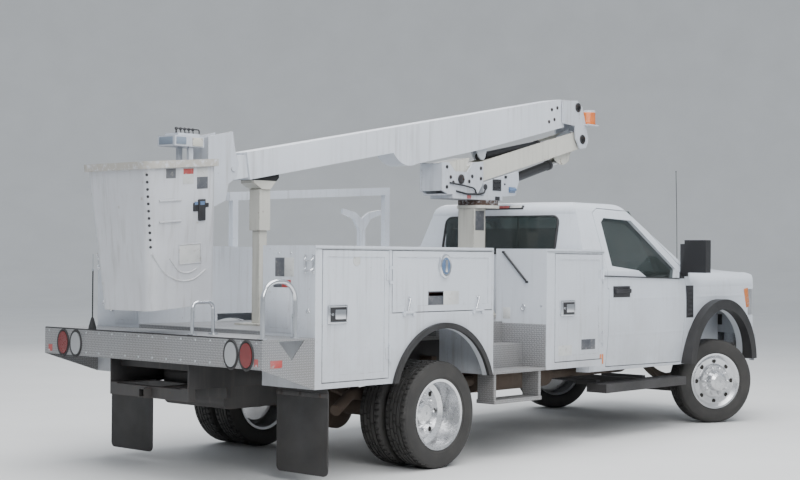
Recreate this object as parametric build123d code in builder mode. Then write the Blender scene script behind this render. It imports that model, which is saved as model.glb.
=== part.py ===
"""Cherry picker truck: a two-seat cab and chassis with twin rear wheels, a service body with side
compartments, a pedestal, and a folding boom with a telescoping upper arm that carries a man basket.

The truck faces +X, its left side is +Y and the ground is Z = 0. Sizes are millimetres. Every x below
is counted from the rear axle, which stands at REAR_AXLE_X."""

import os
from math import atan2, cos, hypot, radians, sin

from build123d import *

os.makedirs("parts", exist_ok=True)

# Driving sizes of the whole truck
WHEELBASE = 4300
FRONT_OVERHANG = 970
REAR_REACH = 2128
REAR_AXLE_X = -(WHEELBASE + FRONT_OVERHANG - REAR_REACH) / 2
FRONT_AXLE_X = WHEELBASE
TYRE_RADIUS = 398
TYRE_WIDTH = 224
RIM_RADIUS = 263
RIM_HALF_WIDTH = 92
REAR_OUTER_WHEEL_Y = 1068
REAR_INNER_WHEEL_Y = 812
KINGPIN_Y = 905
FRONT_WHEEL_OFFSET = 45
PARKED_STEER = 28

# Frame and service body
FRAME_HALF_WIDTH = 432
FRAME_BOTTOM = 640
FRAME_TOP = 890
RAIL_FLANGE = 80
RAIL_WALL = 9
BODY_HALF_WIDTH = 1194
BODY_BOTTOM = 663
BODY_TOP = 1634
BODY_REAR = -1337
BODY_FRONT = 2091
BAY_REAR = 592
BAY_FRONT = 1278
FLOOR_TOP = 1040
FLOOR_SHEET = 40
COMPARTMENT_INNER_Y = 679
WALL = 25
DOOR_THICKNESS = 44
DOOR_GAP = 6
REST_GAP = 0.3
ARCH_HALF_CHORD = 516
ARCH_TOP = 1037
SHELF_REAR = -1818
SHELF_TOP = 1012

# Cab
CAB_BACK = 2140
CAB_FRONT = 3790
CAB_HALF_WIDTH = 1010
CAB_BOTTOM = 585
BELT = 1450
ROOF_TOP = 2065
CAB_WALL = 75
CLIP_FRONT = 5165

# Boom gear
PEDESTAL_X = 1792
TURRET_X = 1878
LOWER_PIVOT = (1486, 2233)
ELBOW_LOWER = (3300, 2690)
ELBOW_UPPER = (3225, 2987)
UPPER_SLOPE = 10.35
UPPER_LENGTH = 4244
TIP_REACH = 156.604
inner_length = UPPER_LENGTH + TIP_REACH
tip_x = ELBOW_UPPER[0] - inner_length * cos(radians(UPPER_SLOPE))
tip_z = ELBOW_UPPER[1] - inner_length * sin(radians(UPPER_SLOPE))

SIDE = Plane(origin=(REAR_AXLE_X, 0, 0), x_dir=(1, 0, 0), z_dir=(0, -1, 0))
TOP = Plane(origin=(REAR_AXLE_X, 0, 0), x_dir=(1, 0, 0), z_dir=(0, 0, 1))
ACROSS = Plane(origin=(REAR_AXLE_X, 0, 0), x_dir=(0, 1, 0), z_dir=(1, 0, 0))


def block(x_pair, y_pair, z_pair, mode=Mode.ADD):
    """A plain box between pairs of planes."""
    middle = [(pair[0] + pair[1]) / 2 for pair in (x_pair, y_pair, z_pair)]
    size = [abs(pair[1] - pair[0]) for pair in (x_pair, y_pair, z_pair)]
    with Locations((REAR_AXLE_X + middle[0], middle[1], middle[2])):
        Box(*size, mode=mode)


def side_plate(y_pair, outline, mode=Mode.ADD):
    """A flat plate seen from the side: its outline is (x, z) points."""
    with BuildSketch(SIDE.offset(-max(y_pair))) as profile:
        with BuildLine():
            Polyline(*outline, close=True)
        make_face()
    extrude(profile.sketch, amount=abs(y_pair[1] - y_pair[0]), mode=mode)


def cross_bar(x_pair, outline, mode=Mode.ADD):
    """A bar of one section from x_pair[0] to x_pair[1]: its outline is (y, z) points."""
    with BuildSketch(ACROSS.offset(min(x_pair))) as profile:
        with BuildLine():
            Polyline(*outline, close=True)
        make_face()
    extrude(profile.sketch, amount=abs(x_pair[1] - x_pair[0]), mode=mode)


def rod(start, end, radius, mode=Mode.ADD):
    """A round bar between two points."""
    axis = Vector(*end) - Vector(*start)
    place = Plane(origin=(start[0] + REAR_AXLE_X, start[1], start[2]), z_dir=axis)
    with BuildSketch(place) as disc:
        Circle(radius)
    extrude(disc.sketch, amount=axis.length, mode=mode)


def pin(x, z, y_pair, radius, mode=Mode.ADD):
    """A round bar across the truck."""
    rod((x, y_pair[0], z), (x, y_pair[1], z), radius, mode)


def bent_tube(points, bend, radius):
    """A round tube along straight runs joined by arcs."""
    path_points = [(x + REAR_AXLE_X, y, z) for x, y, z in points]
    with BuildLine() as path:
        FilletPolyline(*path_points, radius=bend)
    with BuildSketch(Plane(origin=path.line @ 0, z_dir=path.line % 0)) as ring:
        Circle(radius)
    sweep(ring.sketch, path=path.line)


def finish(name, piece):
    """Labels a finished piece and writes it."""
    piece.part.label = name
    export_step(piece.part, "parts/" + name + ".step")


# Chassis frame: two channel rails with cross members, and the tow receiver under the shelf
CROSS_MEMBER_X = (-1700, -900, 620, 1750, 3300, 4860)
CROSS_MEMBER_LENGTH = 60
RAIL_END_REAR = -1790
RAIL_END_FRONT = FRONT_AXLE_X + 700
RECEIVER_Z = 598
RECEIVER_HALF = 32
RECEIVER_WALL = 6.4
with BuildPart() as frame_rails:
    for side in (-1, 1):
        outer = side * FRAME_HALF_WIDTH
        inner = side * (FRAME_HALF_WIDTH - RAIL_FLANGE)
        web = side * (FRAME_HALF_WIDTH - RAIL_WALL)
        block((RAIL_END_REAR, RAIL_END_FRONT), (outer, inner), (FRAME_BOTTOM, FRAME_TOP))
        block(
            (RAIL_END_REAR, RAIL_END_FRONT),
            (web, inner),
            (FRAME_BOTTOM + RAIL_WALL, FRAME_TOP - RAIL_WALL),
            Mode.SUBTRACT,
        )
    for x in CROSS_MEMBER_X:
        web_y = FRAME_HALF_WIDTH - RAIL_WALL
        block((x, x + CROSS_MEMBER_LENGTH), (-web_y, web_y), (FRAME_TOP - 130, FRAME_TOP - 20))
    block((-1790, -1730), (-FRAME_HALF_WIDTH, FRAME_HALF_WIDTH), (560, FRAME_BOTTOM))
    for half, mode in ((RECEIVER_HALF, Mode.ADD), (RECEIVER_HALF - RECEIVER_WALL, Mode.SUBTRACT)):
        block((-1850, -1400), (-half, half), (RECEIVER_Z - half, RECEIVER_Z + half), mode)
    block((-1440, -1400), (-FRAME_HALF_WIDTH, FRAME_HALF_WIDTH), (560, FRAME_BOTTOM))
finish("frame_rails", frame_rails)

# Engine, one plain closed mass with its gearbox, on cross members of the frame
with BuildPart() as engine:
    block((3980, 4780), (-300, 300), (700, 1230))
    block((3402, 3980), (-190, 190), (690, 880))
finish("engine", engine)

# Exhaust: a pipe beside the right rail, with its silencer and a turned-out tail
EXHAUST_RADIUS = 42
with BuildPart() as exhaust:
    bent_tube(
        (
            (4050, -230, 590),
            (3300, -560, 550),
            (850, -560, 550),
            (500, -628, 535),
            (-400, -628, 535),
            (-640, -710, 440),
        ),
        90,
        EXHAUST_RADIUS,
    )
    rod((2100, -560, 550), (1100, -560, 550), 100)
    rod((4050, -230, 590), (4050, -230, 700), EXHAUST_RADIUS)
    for x in (960, 2850):
        block((x, x + 30), (-575, -FRAME_HALF_WIDTH), (665, 685))
        block((x, x + 30), (-575, -545), (560, 685))
finish("exhaust", exhaust)

# Fuel tank between the rails behind the rear axle
with BuildPart() as fuel_tank:
    block((-1380, -620), (-330, 330), (470, 760))
    fillet(fuel_tank.edges().filter_by(Axis.Y), 60)
    for x in (-1200, -800):
        block((x, x + 40), (-423, -330), (690, 720))
        block((x, x + 40), (330, 423), (690, 720))
finish("fuel_tank", fuel_tank)

# Front axle: a dropped beam with yokes for the two kingpins, and the tie rod
KNUCKLE_GAP = 4
SPINDLE_RADIUS = 30.9
HUB_Z = TYRE_RADIUS
with BuildPart() as front_axle:
    cross_bar(
        (FRONT_AXLE_X - 45, FRONT_AXLE_X + 45),
        (
            (-870, 350),
            (-780, 350),
            (-600, 270),
            (600, 270),
            (780, 350),
            (870, 350),
            (870, 446),
            (760, 446),
            (600, 370),
            (-600, 370),
            (-760, 446),
            (-870, 446),
        ),
    )
    for side in (-1, 1):
        y = side * KINGPIN_Y
        block((FRONT_AXLE_X - 25, FRONT_AXLE_X + 25), (side * 860, side * 890), (352, 444))
        rod((FRONT_AXLE_X, y, 350), (FRONT_AXLE_X, y, 446), 32)
        rod((FRONT_AXLE_X, y, 300), (FRONT_AXLE_X, y, 496), 17)
finish("front_axle", front_axle)

# Rear axle: tube housing with the differential and the propeller shaft
with BuildPart() as rear_axle:
    rod((0, -735, HUB_Z), (0, 735, HUB_Z), 62)
    rod((0, -785, HUB_Z), (0, 785, HUB_Z), SPINDLE_RADIUS)
    with BuildSketch(ACROSS) as bulge:
        with BuildLine():
            Polyline((-230, HUB_Z), (-200, HUB_Z + 90), (-110, HUB_Z + 185), (110, HUB_Z + 185))
            Polyline((110, HUB_Z + 185), (200, HUB_Z + 90), (230, HUB_Z), (-230, HUB_Z))
        make_face()
    revolve(bulge.sketch, axis=Axis((REAR_AXLE_X, 0, HUB_Z), (0, 1, 0)))
    rod((150, 0, HUB_Z + 20), (330, 0, HUB_Z + 60), 70)
    rod((320, 0, HUB_Z + 58), (3400, 0, 705), 45)
finish("rear_axle", rear_axle)

# Leaf springs: one arched pack over each end of both axles
SPRING_TABLE = (
    # axle x, half length, spring centre y, half width, seat z, end z
    (0, 640, 520, 38, 460, 660),
    (FRONT_AXLE_X, 560, 480, 38, 370, 650),
)
PACK_THICKNESS = 70
with BuildPart() as leaf_springs:
    for axle_x, half_length, centre_y, half_width, seat_z, end_z in SPRING_TABLE:
        for side in (-1, 1):
            y = side * centre_y
            with BuildSketch(SIDE.offset(-(y + half_width))) as pack:
                with BuildLine():
                    ThreePointArc(
                        (axle_x - half_length, end_z),
                        (axle_x, seat_z),
                        (axle_x + half_length, end_z),
                    )
                    Line((axle_x + half_length, end_z), (axle_x + half_length, end_z + 25))
                    ThreePointArc(
                        (axle_x + half_length, end_z + 25),
                        (axle_x, seat_z + PACK_THICKNESS),
                        (axle_x - half_length, end_z + 25),
                    )
                    Line((axle_x - half_length, end_z + 25), (axle_x - half_length, end_z))
                make_face()
            extrude(pack.sketch, amount=2 * half_width)
            hanger = (side * FRAME_HALF_WIDTH, side * (centre_y + half_width))
            for end in (-1, 1):
                x = axle_x + end * half_length
                block((x - 30, x + 30), hanger, (end_z, end_z + 110))
finish("leaf_springs", leaf_springs)

# Cab: a closed form whose side, front and plan outlines meet, then hollowed and cut
DOOR_REAR_X = 2432
DOOR_FRONT_X = 3655
CAB_FLOOR = 895
SILL_INNER_Y = 880


def cab_width_form(inset, mode=Mode.ADD):
    """The cab's outline from the front, drawn in by inset, along its whole length."""
    low, high, wide = CAB_BOTTOM + inset, ROOF_TOP - inset, CAB_HALF_WIDTH - inset
    with BuildSketch(ACROSS.offset(CAB_BACK - 10)) as front_view:
        with BuildLine():
            Line((-wide + 30, low), (wide - 30, low))
            ThreePointArc((wide - 30, low), (wide, 1000), (wide - 14, BELT))
            Line((wide - 14, BELT), (wide - 205, high - 90))
            ThreePointArc((wide - 205, high - 90), (wide - 250, high - 32), (wide - 330, high - 16))
            ThreePointArc((wide - 330, high - 16), (0, high), (-wide + 330, high - 16))
            ThreePointArc((-wide + 330, high - 16), (-wide + 250, high - 32), (-wide + 205, high - 90))
            Line((-wide + 205, high - 90), (-wide + 14, BELT))
            ThreePointArc((-wide + 14, BELT), (-wide, 1000), (-wide + 30, low))
        make_face()
    extrude(front_view.sketch, amount=CAB_FRONT - CAB_BACK + 20, mode=mode)


def cab_form(inset):
    """Side, front and plan outlines of the cab, drawn in by inset on every face."""
    low, high = CAB_BOTTOM + inset, ROOF_TOP - inset
    back, front = CAB_BACK + inset, CAB_FRONT - inset
    wide = CAB_HALF_WIDTH - inset
    with BuildSketch(SIDE.offset(-wide)) as side_view:
        with BuildLine():
            Polyline((back, low), (back, 1560), (back + 80, high - 120))
            ThreePointArc((back + 80, high - 120), (back + 112, high - 40), (back + 190, high - 12))
            ThreePointArc((back + 190, high - 12), (back + 500, high), (back + 800, high - 24))
            Line((back + 800, high - 24), (front - 20 - inset, 1480 - inset * 0.6))
            Line((front - 20 - inset, 1480 - inset * 0.6), (front, 1470 - inset * 0.6))
            Polyline((front, 1470 - inset * 0.6), (front, low), (back, low))
        make_face()
    extrude(side_view.sketch, amount=2 * wide)
    cab_width_form(inset, Mode.INTERSECT)
    corner = 110 - inset
    with BuildSketch(TOP.offset(CAB_BOTTOM - 10)) as plan_view:
        with BuildLine():
            Line((back + corner, -wide), (front, -wide))
            Line((front, -wide), (front, wide))
            Line((front, wide), (back + corner, wide))
            ThreePointArc(
                (back + corner, wide), (back + corner * 0.3, wide - corner * 0.3), (back, wide - corner)
            )
            Line((back, wide - corner), (back, -wide + corner))
            ThreePointArc(
                (back, -wide + corner), (back + corner * 0.3, -wide + corner * 0.3), (back + corner, -wide)
            )
        make_face()
    extrude(plan_view.sketch, amount=ROOF_TOP - CAB_BOTTOM + 20, mode=Mode.INTERSECT)


with BuildPart() as cab_hull:
    cab_form(0)
with BuildPart() as cab_hollow:
    cab_form(CAB_WALL)

DOOR_OUTLINE = (
    (DOOR_REAR_X, 625),
    (DOOR_FRONT_X, 612),
    (3712, 1319),
    (3690, 1462),
    (3075, 1985),
    (2560, 2000),
    (2470, 1960),
)
UPPER_DOOR_OUTLINE = (
    (DOOR_REAR_X, 1300),
    (3712, 1319),
    (3690, 1462),
    (3075, 1985),
    (2560, 2000),
    (2470, 1960),
)
WINDOW_OUTLINE = (
    (2530, 1495),
    (2930, 1455),
    (3080, 1385),
    (3540, 1385),
    (3560, 1470),
    (3050, 1905),
    (2620, 1920),
    (2560, 1880),
)


def door_form(side, growth, lower_y):
    """A door's space through the side wall: its lower part is outside the sill."""
    side_plate((side * lower_y, side * 1050), drawn_out(DOOR_OUTLINE, growth))
    side_plate((side * 700, side * 1050), drawn_out(UPPER_DOOR_OUTLINE, growth))


def drawn_out(outline, distance):
    """The same outline moved outward all round by distance."""
    if distance == 0:
        return outline
    with BuildSketch(Plane.XY, mode=Mode.PRIVATE) as wider:
        with BuildLine():
            Polyline(*outline, close=True)
        make_face()
        offset(amount=distance, kind=Kind.INTERSECTION)
    corners = wider.sketch.face().outer_wire().order_edges()
    return [((edge @ 0).X, (edge @ 0).Y) for edge in corners]


with BuildPart() as doorways:
    for side in (-1, 1):
        door_form(side, DOOR_GAP, SILL_INNER_Y + 20)
    cab_width_form(CAB_WALL + DOOR_GAP, Mode.SUBTRACT)
with BuildPart() as cab_shell:
    add(cab_hull.part)
    add(cab_hollow.part, mode=Mode.SUBTRACT)
    # The floor lies over the frame, between deep sills
    block(
        (CAB_BACK - 5, CAB_FRONT + 5),
        (-SILL_INNER_Y, SILL_INNER_Y),
        (CAB_BOTTOM - 5, CAB_FLOOR),
        Mode.SUBTRACT,
    )
    block((CAB_BACK, CAB_FRONT), (-SILL_INNER_Y, SILL_INNER_Y), (CAB_FLOOR, CAB_FLOOR + 40))
    for side in (-1, 1):
        for x in (2300, 3600):
            rod((x, side * 388, FRAME_TOP), (x, side * 388, CAB_FLOOR), 30)
        block(
            (CAB_BACK, CAB_FRONT),
            (side * SILL_INNER_Y, side * (SILL_INNER_Y + 20)),
            (CAB_BOTTOM + 10, CAB_FLOOR + 40),
        )
    add(doorways.part, mode=Mode.SUBTRACT)
    # Rear window, through the back wall
    with BuildSketch(ACROSS.offset(CAB_BACK - 20)):
        with Locations((0, 1765)):
            RectangleRounded(1240, 330, 60)
    extrude(amount=260, mode=Mode.SUBTRACT)
    # Windscreen opening, square to the raked screen
    screen = Plane(
        origin=(REAR_AXLE_X + 3370, 0, 1770), x_dir=(0, 1, 0), z_dir=(560, 0, 800)
    )
    with BuildSketch(screen.offset(-140)):
        Trapezoid(1620, 780, 84, rotation=180)
    extrude(amount=300, mode=Mode.SUBTRACT)
finish("cab_shell", cab_shell)

# Cab glass: the windscreen and the rear window
with BuildPart() as cab_glass:
    with BuildSketch(screen.offset(-12)):
        Trapezoid(1620, 780, 84, rotation=180)
    extrude(amount=6)
    with BuildSketch(ACROSS.offset(CAB_BACK + 40)):
        with Locations((0, 1765)):
            RectangleRounded(1240, 330, 60)
    extrude(amount=6)
finish("cab_glass", cab_glass)

# Cab interior: bench seat, dashboard and steering wheel
with BuildPart() as cab_interior:
    side_plate(
        (-760, 760),
        ((2440, 935), (2960, 935), (3020, 1280), (2590, 1255), (2430, 1825), (2320, 1825), (2400, 1250)),
    )
    side_plate(
        (-850, 850),
        (
            (3600, 1080),
            (CAB_FRONT - CAB_WALL, 1080),
            (CAB_FRONT - CAB_WALL, 1385),
            (3600, 1410),
            (3450, 1390),
            (3440, 1240),
        ),
    )
    rod((3500, 380, 1320), (3270, 380, 1410), 30)
    wheel_plane = Plane(origin=(REAR_AXLE_X + 3270, 380, 1410), z_dir=(-230, 0, 90))
    with BuildSketch(wheel_plane):
        Circle(195)
        Circle(165, mode=Mode.SUBTRACT)
        Rectangle(350, 36)
        Circle(60)
    extrude(amount=30)
finish("cab_interior", cab_interior)


# Front end: fenders with their wheel arches, the cowl and the nose panel, under an opening hood
HOOD_HALF_WIDTH = 790
HOOD_REAR = 3850
FRONT_ARCH_RADIUS = 524
FRONT_ARCH_Z = 560


def clip_form(inset):
    """The front end's closed form, drawn in by inset."""
    low, wide, front = CAB_BOTTOM + inset, CAB_HALF_WIDTH - inset, CLIP_FRONT - inset
    with BuildSketch(SIDE.offset(-wide)) as side_view:
        with BuildLine():
            Line((CAB_FRONT, low), (CAB_FRONT, 1500 - inset))
            ThreePointArc((CAB_FRONT, 1500 - inset), (4400, 1490 - inset), (4900, 1425 - inset))
            ThreePointArc((4900, 1425 - inset), (front - 60, 1370 - inset), (front - 10, 1230))
            Polyline((front - 10, 1230), (front, 900), (front - 20, low), (CAB_FRONT, low))
        make_face()
    extrude(side_view.sketch, amount=2 * wide)
    with BuildSketch(ACROSS.offset(CAB_FRONT - 10)) as front_view:
        with BuildLine():
            Line((-wide + 30, low), (wide - 30, low))
            ThreePointArc((wide - 30, low), (wide, 1000), (wide - 16, 1300))
            ThreePointArc((wide - 16, 1300), (wide - 50, 1400 - inset), (wide - 150, 1440 - inset))
            ThreePointArc((wide - 150, 1440 - inset), (0, 1505 - inset), (-wide + 150, 1440 - inset))
            ThreePointArc((-wide + 150, 1440 - inset), (-wide + 50, 1400 - inset), (-wide + 16, 1300))
            ThreePointArc((-wide + 16, 1300), (-wide, 1000), (-wide + 30, low))
        make_face()
    extrude(front_view.sketch, amount=CLIP_FRONT - CAB_FRONT + 20, mode=Mode.INTERSECT)
    with BuildSketch(TOP.offset(CAB_BOTTOM - 10)) as plan_view:
        with BuildLine():
            Line((CAB_FRONT, -wide), (4800, -wide))
            ThreePointArc((4800, -wide), (5030, -wide + 30), (front - 60, -wide + 170))
            ThreePointArc((front - 60, -wide + 170), (front, 0), (front - 60, wide - 170))
            ThreePointArc((front - 60, wide - 170), (5030, wide - 30), (4800, wide))
            Line((4800, wide), (CAB_FRONT, wide))
            Line((CAB_FRONT, wide), (CAB_FRONT, -wide))
        make_face()
    extrude(plan_view.sketch, amount=ROOF_TOP - CAB_BOTTOM, mode=Mode.INTERSECT)


HOOD_BOTTOM = 1316
HOOD_HINGE_X = HOOD_REAR - DOOR_GAP / 2
HOOD_HINGE_Y = (-300, 300)
HOOD_HINGE_Z = 1506
with BuildPart() as clip_hull:
    clip_form(0)
with BuildPart() as clip_hollow:
    clip_form(60)

GRILLE_HALF_WIDTH = 620
GRILLE_Z = (900, 1300)
with BuildPart() as front_fenders:
    add(clip_hull.part)
    add(clip_hollow.part, mode=Mode.SUBTRACT)
    # The hood's own opening, with its gap
    block(
        (HOOD_REAR - DOOR_GAP, CLIP_FRONT + 20),
        (-HOOD_HALF_WIDTH - DOOR_GAP, HOOD_HALF_WIDTH + DOOR_GAP),
        (1310, 1600),
        Mode.SUBTRACT,
    )
    # Grille opening and the two lamp openings
    block(
        (5000, CLIP_FRONT + 20), (-GRILLE_HALF_WIDTH, GRILLE_HALF_WIDTH), GRILLE_Z, Mode.SUBTRACT
    )
    for side in (-1, 1):
        block((4880, CLIP_FRONT + 20), (side * 650, side * 1020), (1010, 1270), Mode.SUBTRACT)
    # Underside is open, and the nose ends over the bumper
    block((CAB_FRONT - 10, 5060), (-940, 940), (CAB_BOTTOM - 5, CAB_BOTTOM + 80), Mode.SUBTRACT)
    block((4985, CLIP_FRONT + 20), (-1050, 1050), (CAB_BOTTOM - 5, 822), Mode.SUBTRACT)
    # Wheel arches through both fenders
    for side in (-1, 1):
        pin(FRONT_AXLE_X, FRONT_ARCH_Z, (side * 900, side * 1030), FRONT_ARCH_RADIUS, Mode.SUBTRACT)
    # Inner aprons between the wheels and the engine bay, standing on the rails' line
    for side in (-1, 1):
        block((CAB_FRONT, 5050), (side * 560, side * 580), (700, 1300))
        block((CAB_FRONT, 5050), (side * 560, side * 951), (1280, 1300))
    # Hood hinges: pins between tabs on the cowl
    for y in HOOD_HINGE_Y:
        block((HOOD_HINGE_X - 12, HOOD_HINGE_X - 1), (y - 42, y + 42), (1490, 1520), Mode.SUBTRACT)
        for sign in (-1, 1):
            tab = (y + sign * 41, y + sign * 63)
            block((HOOD_HINGE_X - 32, HOOD_HINGE_X - 4), tab, (1470, 1511))
            block((HOOD_HINGE_X - 4, HOOD_HINGE_X + 5), tab, (1501.5, 1511))
        rod((HOOD_HINGE_X, y - 63, HOOD_HINGE_Z), (HOOD_HINGE_X, y + 63, HOOD_HINGE_Z), 5)
    # Seal strips the hood's lower edges rest on
    for side in (-1, 1):
        block((3900, 4900), (side * 760, side * 780), (1290, HOOD_BOTTOM - REST_GAP))
finish("front_fenders", front_fenders)

# Hood: follows the front end's top, hinged along its rear edge
with BuildPart() as hood:
    add(clip_hull.part)
    block(
        (HOOD_REAR, CLIP_FRONT + 20),
        (-HOOD_HALF_WIDTH, HOOD_HALF_WIDTH),
        (HOOD_BOTTOM, 1600),
        Mode.INTERSECT,
    )
    add(clip_hollow.part, mode=Mode.SUBTRACT)
    for y in HOOD_HINGE_Y:
        block((HOOD_REAR, HOOD_REAR + 35), (y - 40, y + 40), (1470, HOOD_HINGE_Z + 3))
        rod((HOOD_HINGE_X, y - 40, HOOD_HINGE_Z), (HOOD_HINGE_X, y + 40, HOOD_HINGE_Z), 9)
        rod((HOOD_HINGE_X, y - 41, HOOD_HINGE_Z), (HOOD_HINGE_X, y + 41, HOOD_HINGE_Z), 5.1, Mode.SUBTRACT)
finish("hood", hood)

# Grille: a surround with bars and uprights
BAR_COUNT = 4
with BuildPart() as grille:
    grille_x = (CLIP_FRONT - 115, CLIP_FRONT - 25)
    block(grille_x, (-GRILLE_HALF_WIDTH, GRILLE_HALF_WIDTH), GRILLE_Z)
    block(
        grille_x,
        (-GRILLE_HALF_WIDTH + 40, GRILLE_HALF_WIDTH - 40),
        (GRILLE_Z[0] + 40, GRILLE_Z[1] - 40),
        Mode.SUBTRACT,
    )
    bar_pitch = (GRILLE_Z[1] - GRILLE_Z[0] - 80) / (BAR_COUNT + 1)
    for number in range(BAR_COUNT):
        bar_z = GRILLE_Z[0] + 40 + bar_pitch * (number + 1)
        bar_y = (-GRILLE_HALF_WIDTH + 40, GRILLE_HALF_WIDTH - 40)
        block((grille_x[0] + 20, grille_x[1] - 10), bar_y, (bar_z - 14, bar_z + 14))
    for y in (-300, 0, 300):
        block((grille_x[0] + 20, grille_x[0] + 50), (y - 12, y + 12), (GRILLE_Z[0] + 40, GRILLE_Z[1] - 40))
finish("grille", grille)

# Front bumper: a curved channel on two brackets from the rails
BUMPER_Z = (560, 815)
BUMPER_NOSE = FRONT_AXLE_X + FRONT_OVERHANG
BUMPER_END = BUMPER_NOSE - 260
BUMPER_BEND = BUMPER_NOSE - 8
with BuildPart() as front_bumper:
    with BuildSketch(TOP.offset(BUMPER_Z[0])):
        with BuildLine():
            ThreePointArc((BUMPER_END, -1010), (BUMPER_NOSE - 80, -905), (BUMPER_BEND, -560))
            ThreePointArc((BUMPER_BEND, -560), (BUMPER_NOSE, 0), (BUMPER_BEND, 560))
            ThreePointArc((BUMPER_BEND, 560), (BUMPER_NOSE - 80, 905), (BUMPER_END, 1010))
            Line((BUMPER_END, 1010), (BUMPER_END, 960))
            ThreePointArc((BUMPER_END, 960), (BUMPER_NOSE - 120, 870), (BUMPER_NOSE - 55, 560))
            Line((BUMPER_NOSE - 55, 560), (BUMPER_NOSE - 55, -560))
            ThreePointArc((BUMPER_NOSE - 55, -560), (BUMPER_NOSE - 120, -870), (BUMPER_END, -960))
            Line((BUMPER_END, -960), (BUMPER_END, -1010))
        make_face()
    extrude(amount=BUMPER_Z[1] - BUMPER_Z[0])
    block((BUMPER_NOSE - 70, BUMPER_NOSE + 20), (-330, 330), (660, 740), Mode.SUBTRACT)
    for side in (-1, 1):
        block((RAIL_END_FRONT, BUMPER_NOSE - 52), (side * 412, side * FRAME_HALF_WIDTH), (650, 800))
finish("front_bumper", front_bumper)

# Lamps: two headlamps, and on the tail shelf two red and two clear oval lamps
TAIL_LAMP_TABLE = (
    # y, long radius
    (962, 82),
    (807, 82),
    (-894, 82),
    (-1045, 82),
)
TAIL_LAMP_Z = 908
with BuildPart() as lamps:
    for side in (-1, 1):
        block((4900, 5100), (side * 650, side * 935), (1010, 1270))
    for y, radius in TAIL_LAMP_TABLE:
        with BuildSketch(ACROSS.offset(SHELF_REAR - 8)) as oval:
            with Locations((y, TAIL_LAMP_Z)):
                Ellipse(57, radius)
        extrude(oval.sketch, amount=30)
finish("lamps", lamps)

# Running boards under the doors, on brackets from the rails
with BuildPart() as running_boards:
    for side in (-1, 1):
        block((2327, 3634), (side * 860, side * 1064), (402, 478))
        for x in (2450, 3180):
            block((x, x + 50), (side * FRAME_HALF_WIDTH, side * 880), (478, 500))
            block((x, x + 50), (side * FRAME_HALF_WIDTH, side * (FRAME_HALF_WIDTH + 20)), (478, 700))
finish("running_boards", running_boards)

# Wheel arch flares: black rubber lips round the rear arches, and the wide front lips
REAR_FLARE_WIDTH = 42
FRONT_FLARE_WIDTH = 95
with BuildPart() as front_flares:
    for side in (-1, 1):
        y_near, y_far = side * (CAB_HALF_WIDTH - 40), side * 1092
        pin(FRONT_AXLE_X, FRONT_ARCH_Z, (y_near, y_far), FRONT_ARCH_RADIUS + FRONT_FLARE_WIDTH)
        pin(FRONT_AXLE_X, FRONT_ARCH_Z, (y_near, y_far), FRONT_ARCH_RADIUS, Mode.SUBTRACT)
        block((3500, 5100), (y_near, y_far), (-150, 590), Mode.SUBTRACT)
    add(clip_hull.part, mode=Mode.SUBTRACT)
    add(cab_hull.part, mode=Mode.SUBTRACT)
with BuildPart() as arch_flares:
    rear_centre = (ARCH_TOP**2 - BODY_BOTTOM**2 - ARCH_HALF_CHORD**2) / (2 * (ARCH_TOP - BODY_BOTTOM))
    rear_radius = ARCH_TOP - rear_centre
    for side in (-1, 1):
        y_near, y_far = side * BODY_HALF_WIDTH, side * (BODY_HALF_WIDTH + 26)
        pin(0, rear_centre, (y_near, y_far), rear_radius + REAR_FLARE_WIDTH)
        pin(0, rear_centre, (y_near, y_far), rear_radius, Mode.SUBTRACT)
        block((-700, 700), (y_near, y_far), (-100, BODY_BOTTOM), Mode.SUBTRACT)
    add(front_flares.part)
finish("arch_flares", arch_flares)

# Service body floor: sills on the rails, the bed floor, and the folded steps of the right bay
with BuildPart() as body_floor:
    for side in (-1, 1):
        block((BODY_REAR, BODY_FRONT), (side * 345, side * FRAME_HALF_WIDTH), (FRAME_TOP, 1000))
        for x in (-1300, -560, 520, 1250, 2050):
            block((x, x + 40), (side * FRAME_HALF_WIDTH, side * COMPARTMENT_INNER_Y), (940, 1000))
    block(
        (BODY_REAR, BODY_FRONT),
        (-COMPARTMENT_INNER_Y, COMPARTMENT_INNER_Y),
        (FLOOR_TOP - FLOOR_SHEET, FLOOR_TOP),
    )
    cross_bar(
        (BAY_REAR, BAY_FRONT),
        (
            (-660, FLOOR_TOP),
            (-745, FLOOR_TOP),
            (-745, 866),
            (-960, 866),
            (-960, 683),
            (-BODY_HALF_WIDTH, 683),
            (-BODY_HALF_WIDTH, BODY_BOTTOM),
            (-940, BODY_BOTTOM),
            (-940, 846),
            (-725, 846),
            (-725, FLOOR_TOP - 20),
            (-660, FLOOR_TOP - 20),
        ),
    )
    for x in (BAY_REAR + 40, BAY_FRONT - 70):
        block((x, x + 30), (-1170, -1010), (440, BODY_BOTTOM))
    block((BAY_REAR + 40, BAY_FRONT - 40), (-1180, -1000), (430, 460))
finish("body_floor", body_floor)

# Door hinges: a pin between two tabs on the body, and a knuckle with its leaf on the door
HINGE_PIN = 5
HINGE_KNUCKLE = 9
KNUCKLE_HALF = 40
TAB_LENGTH = 22
HINGE_FIT = 0.1
HINGE_INSET = 170


def hinge_ends(place, along, half):
    """The two ends of a hinge line of this half length about a place."""
    return [tuple(value + sign * half * way for value, way in zip(place, along)) for sign in (-1, 1)]


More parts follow.
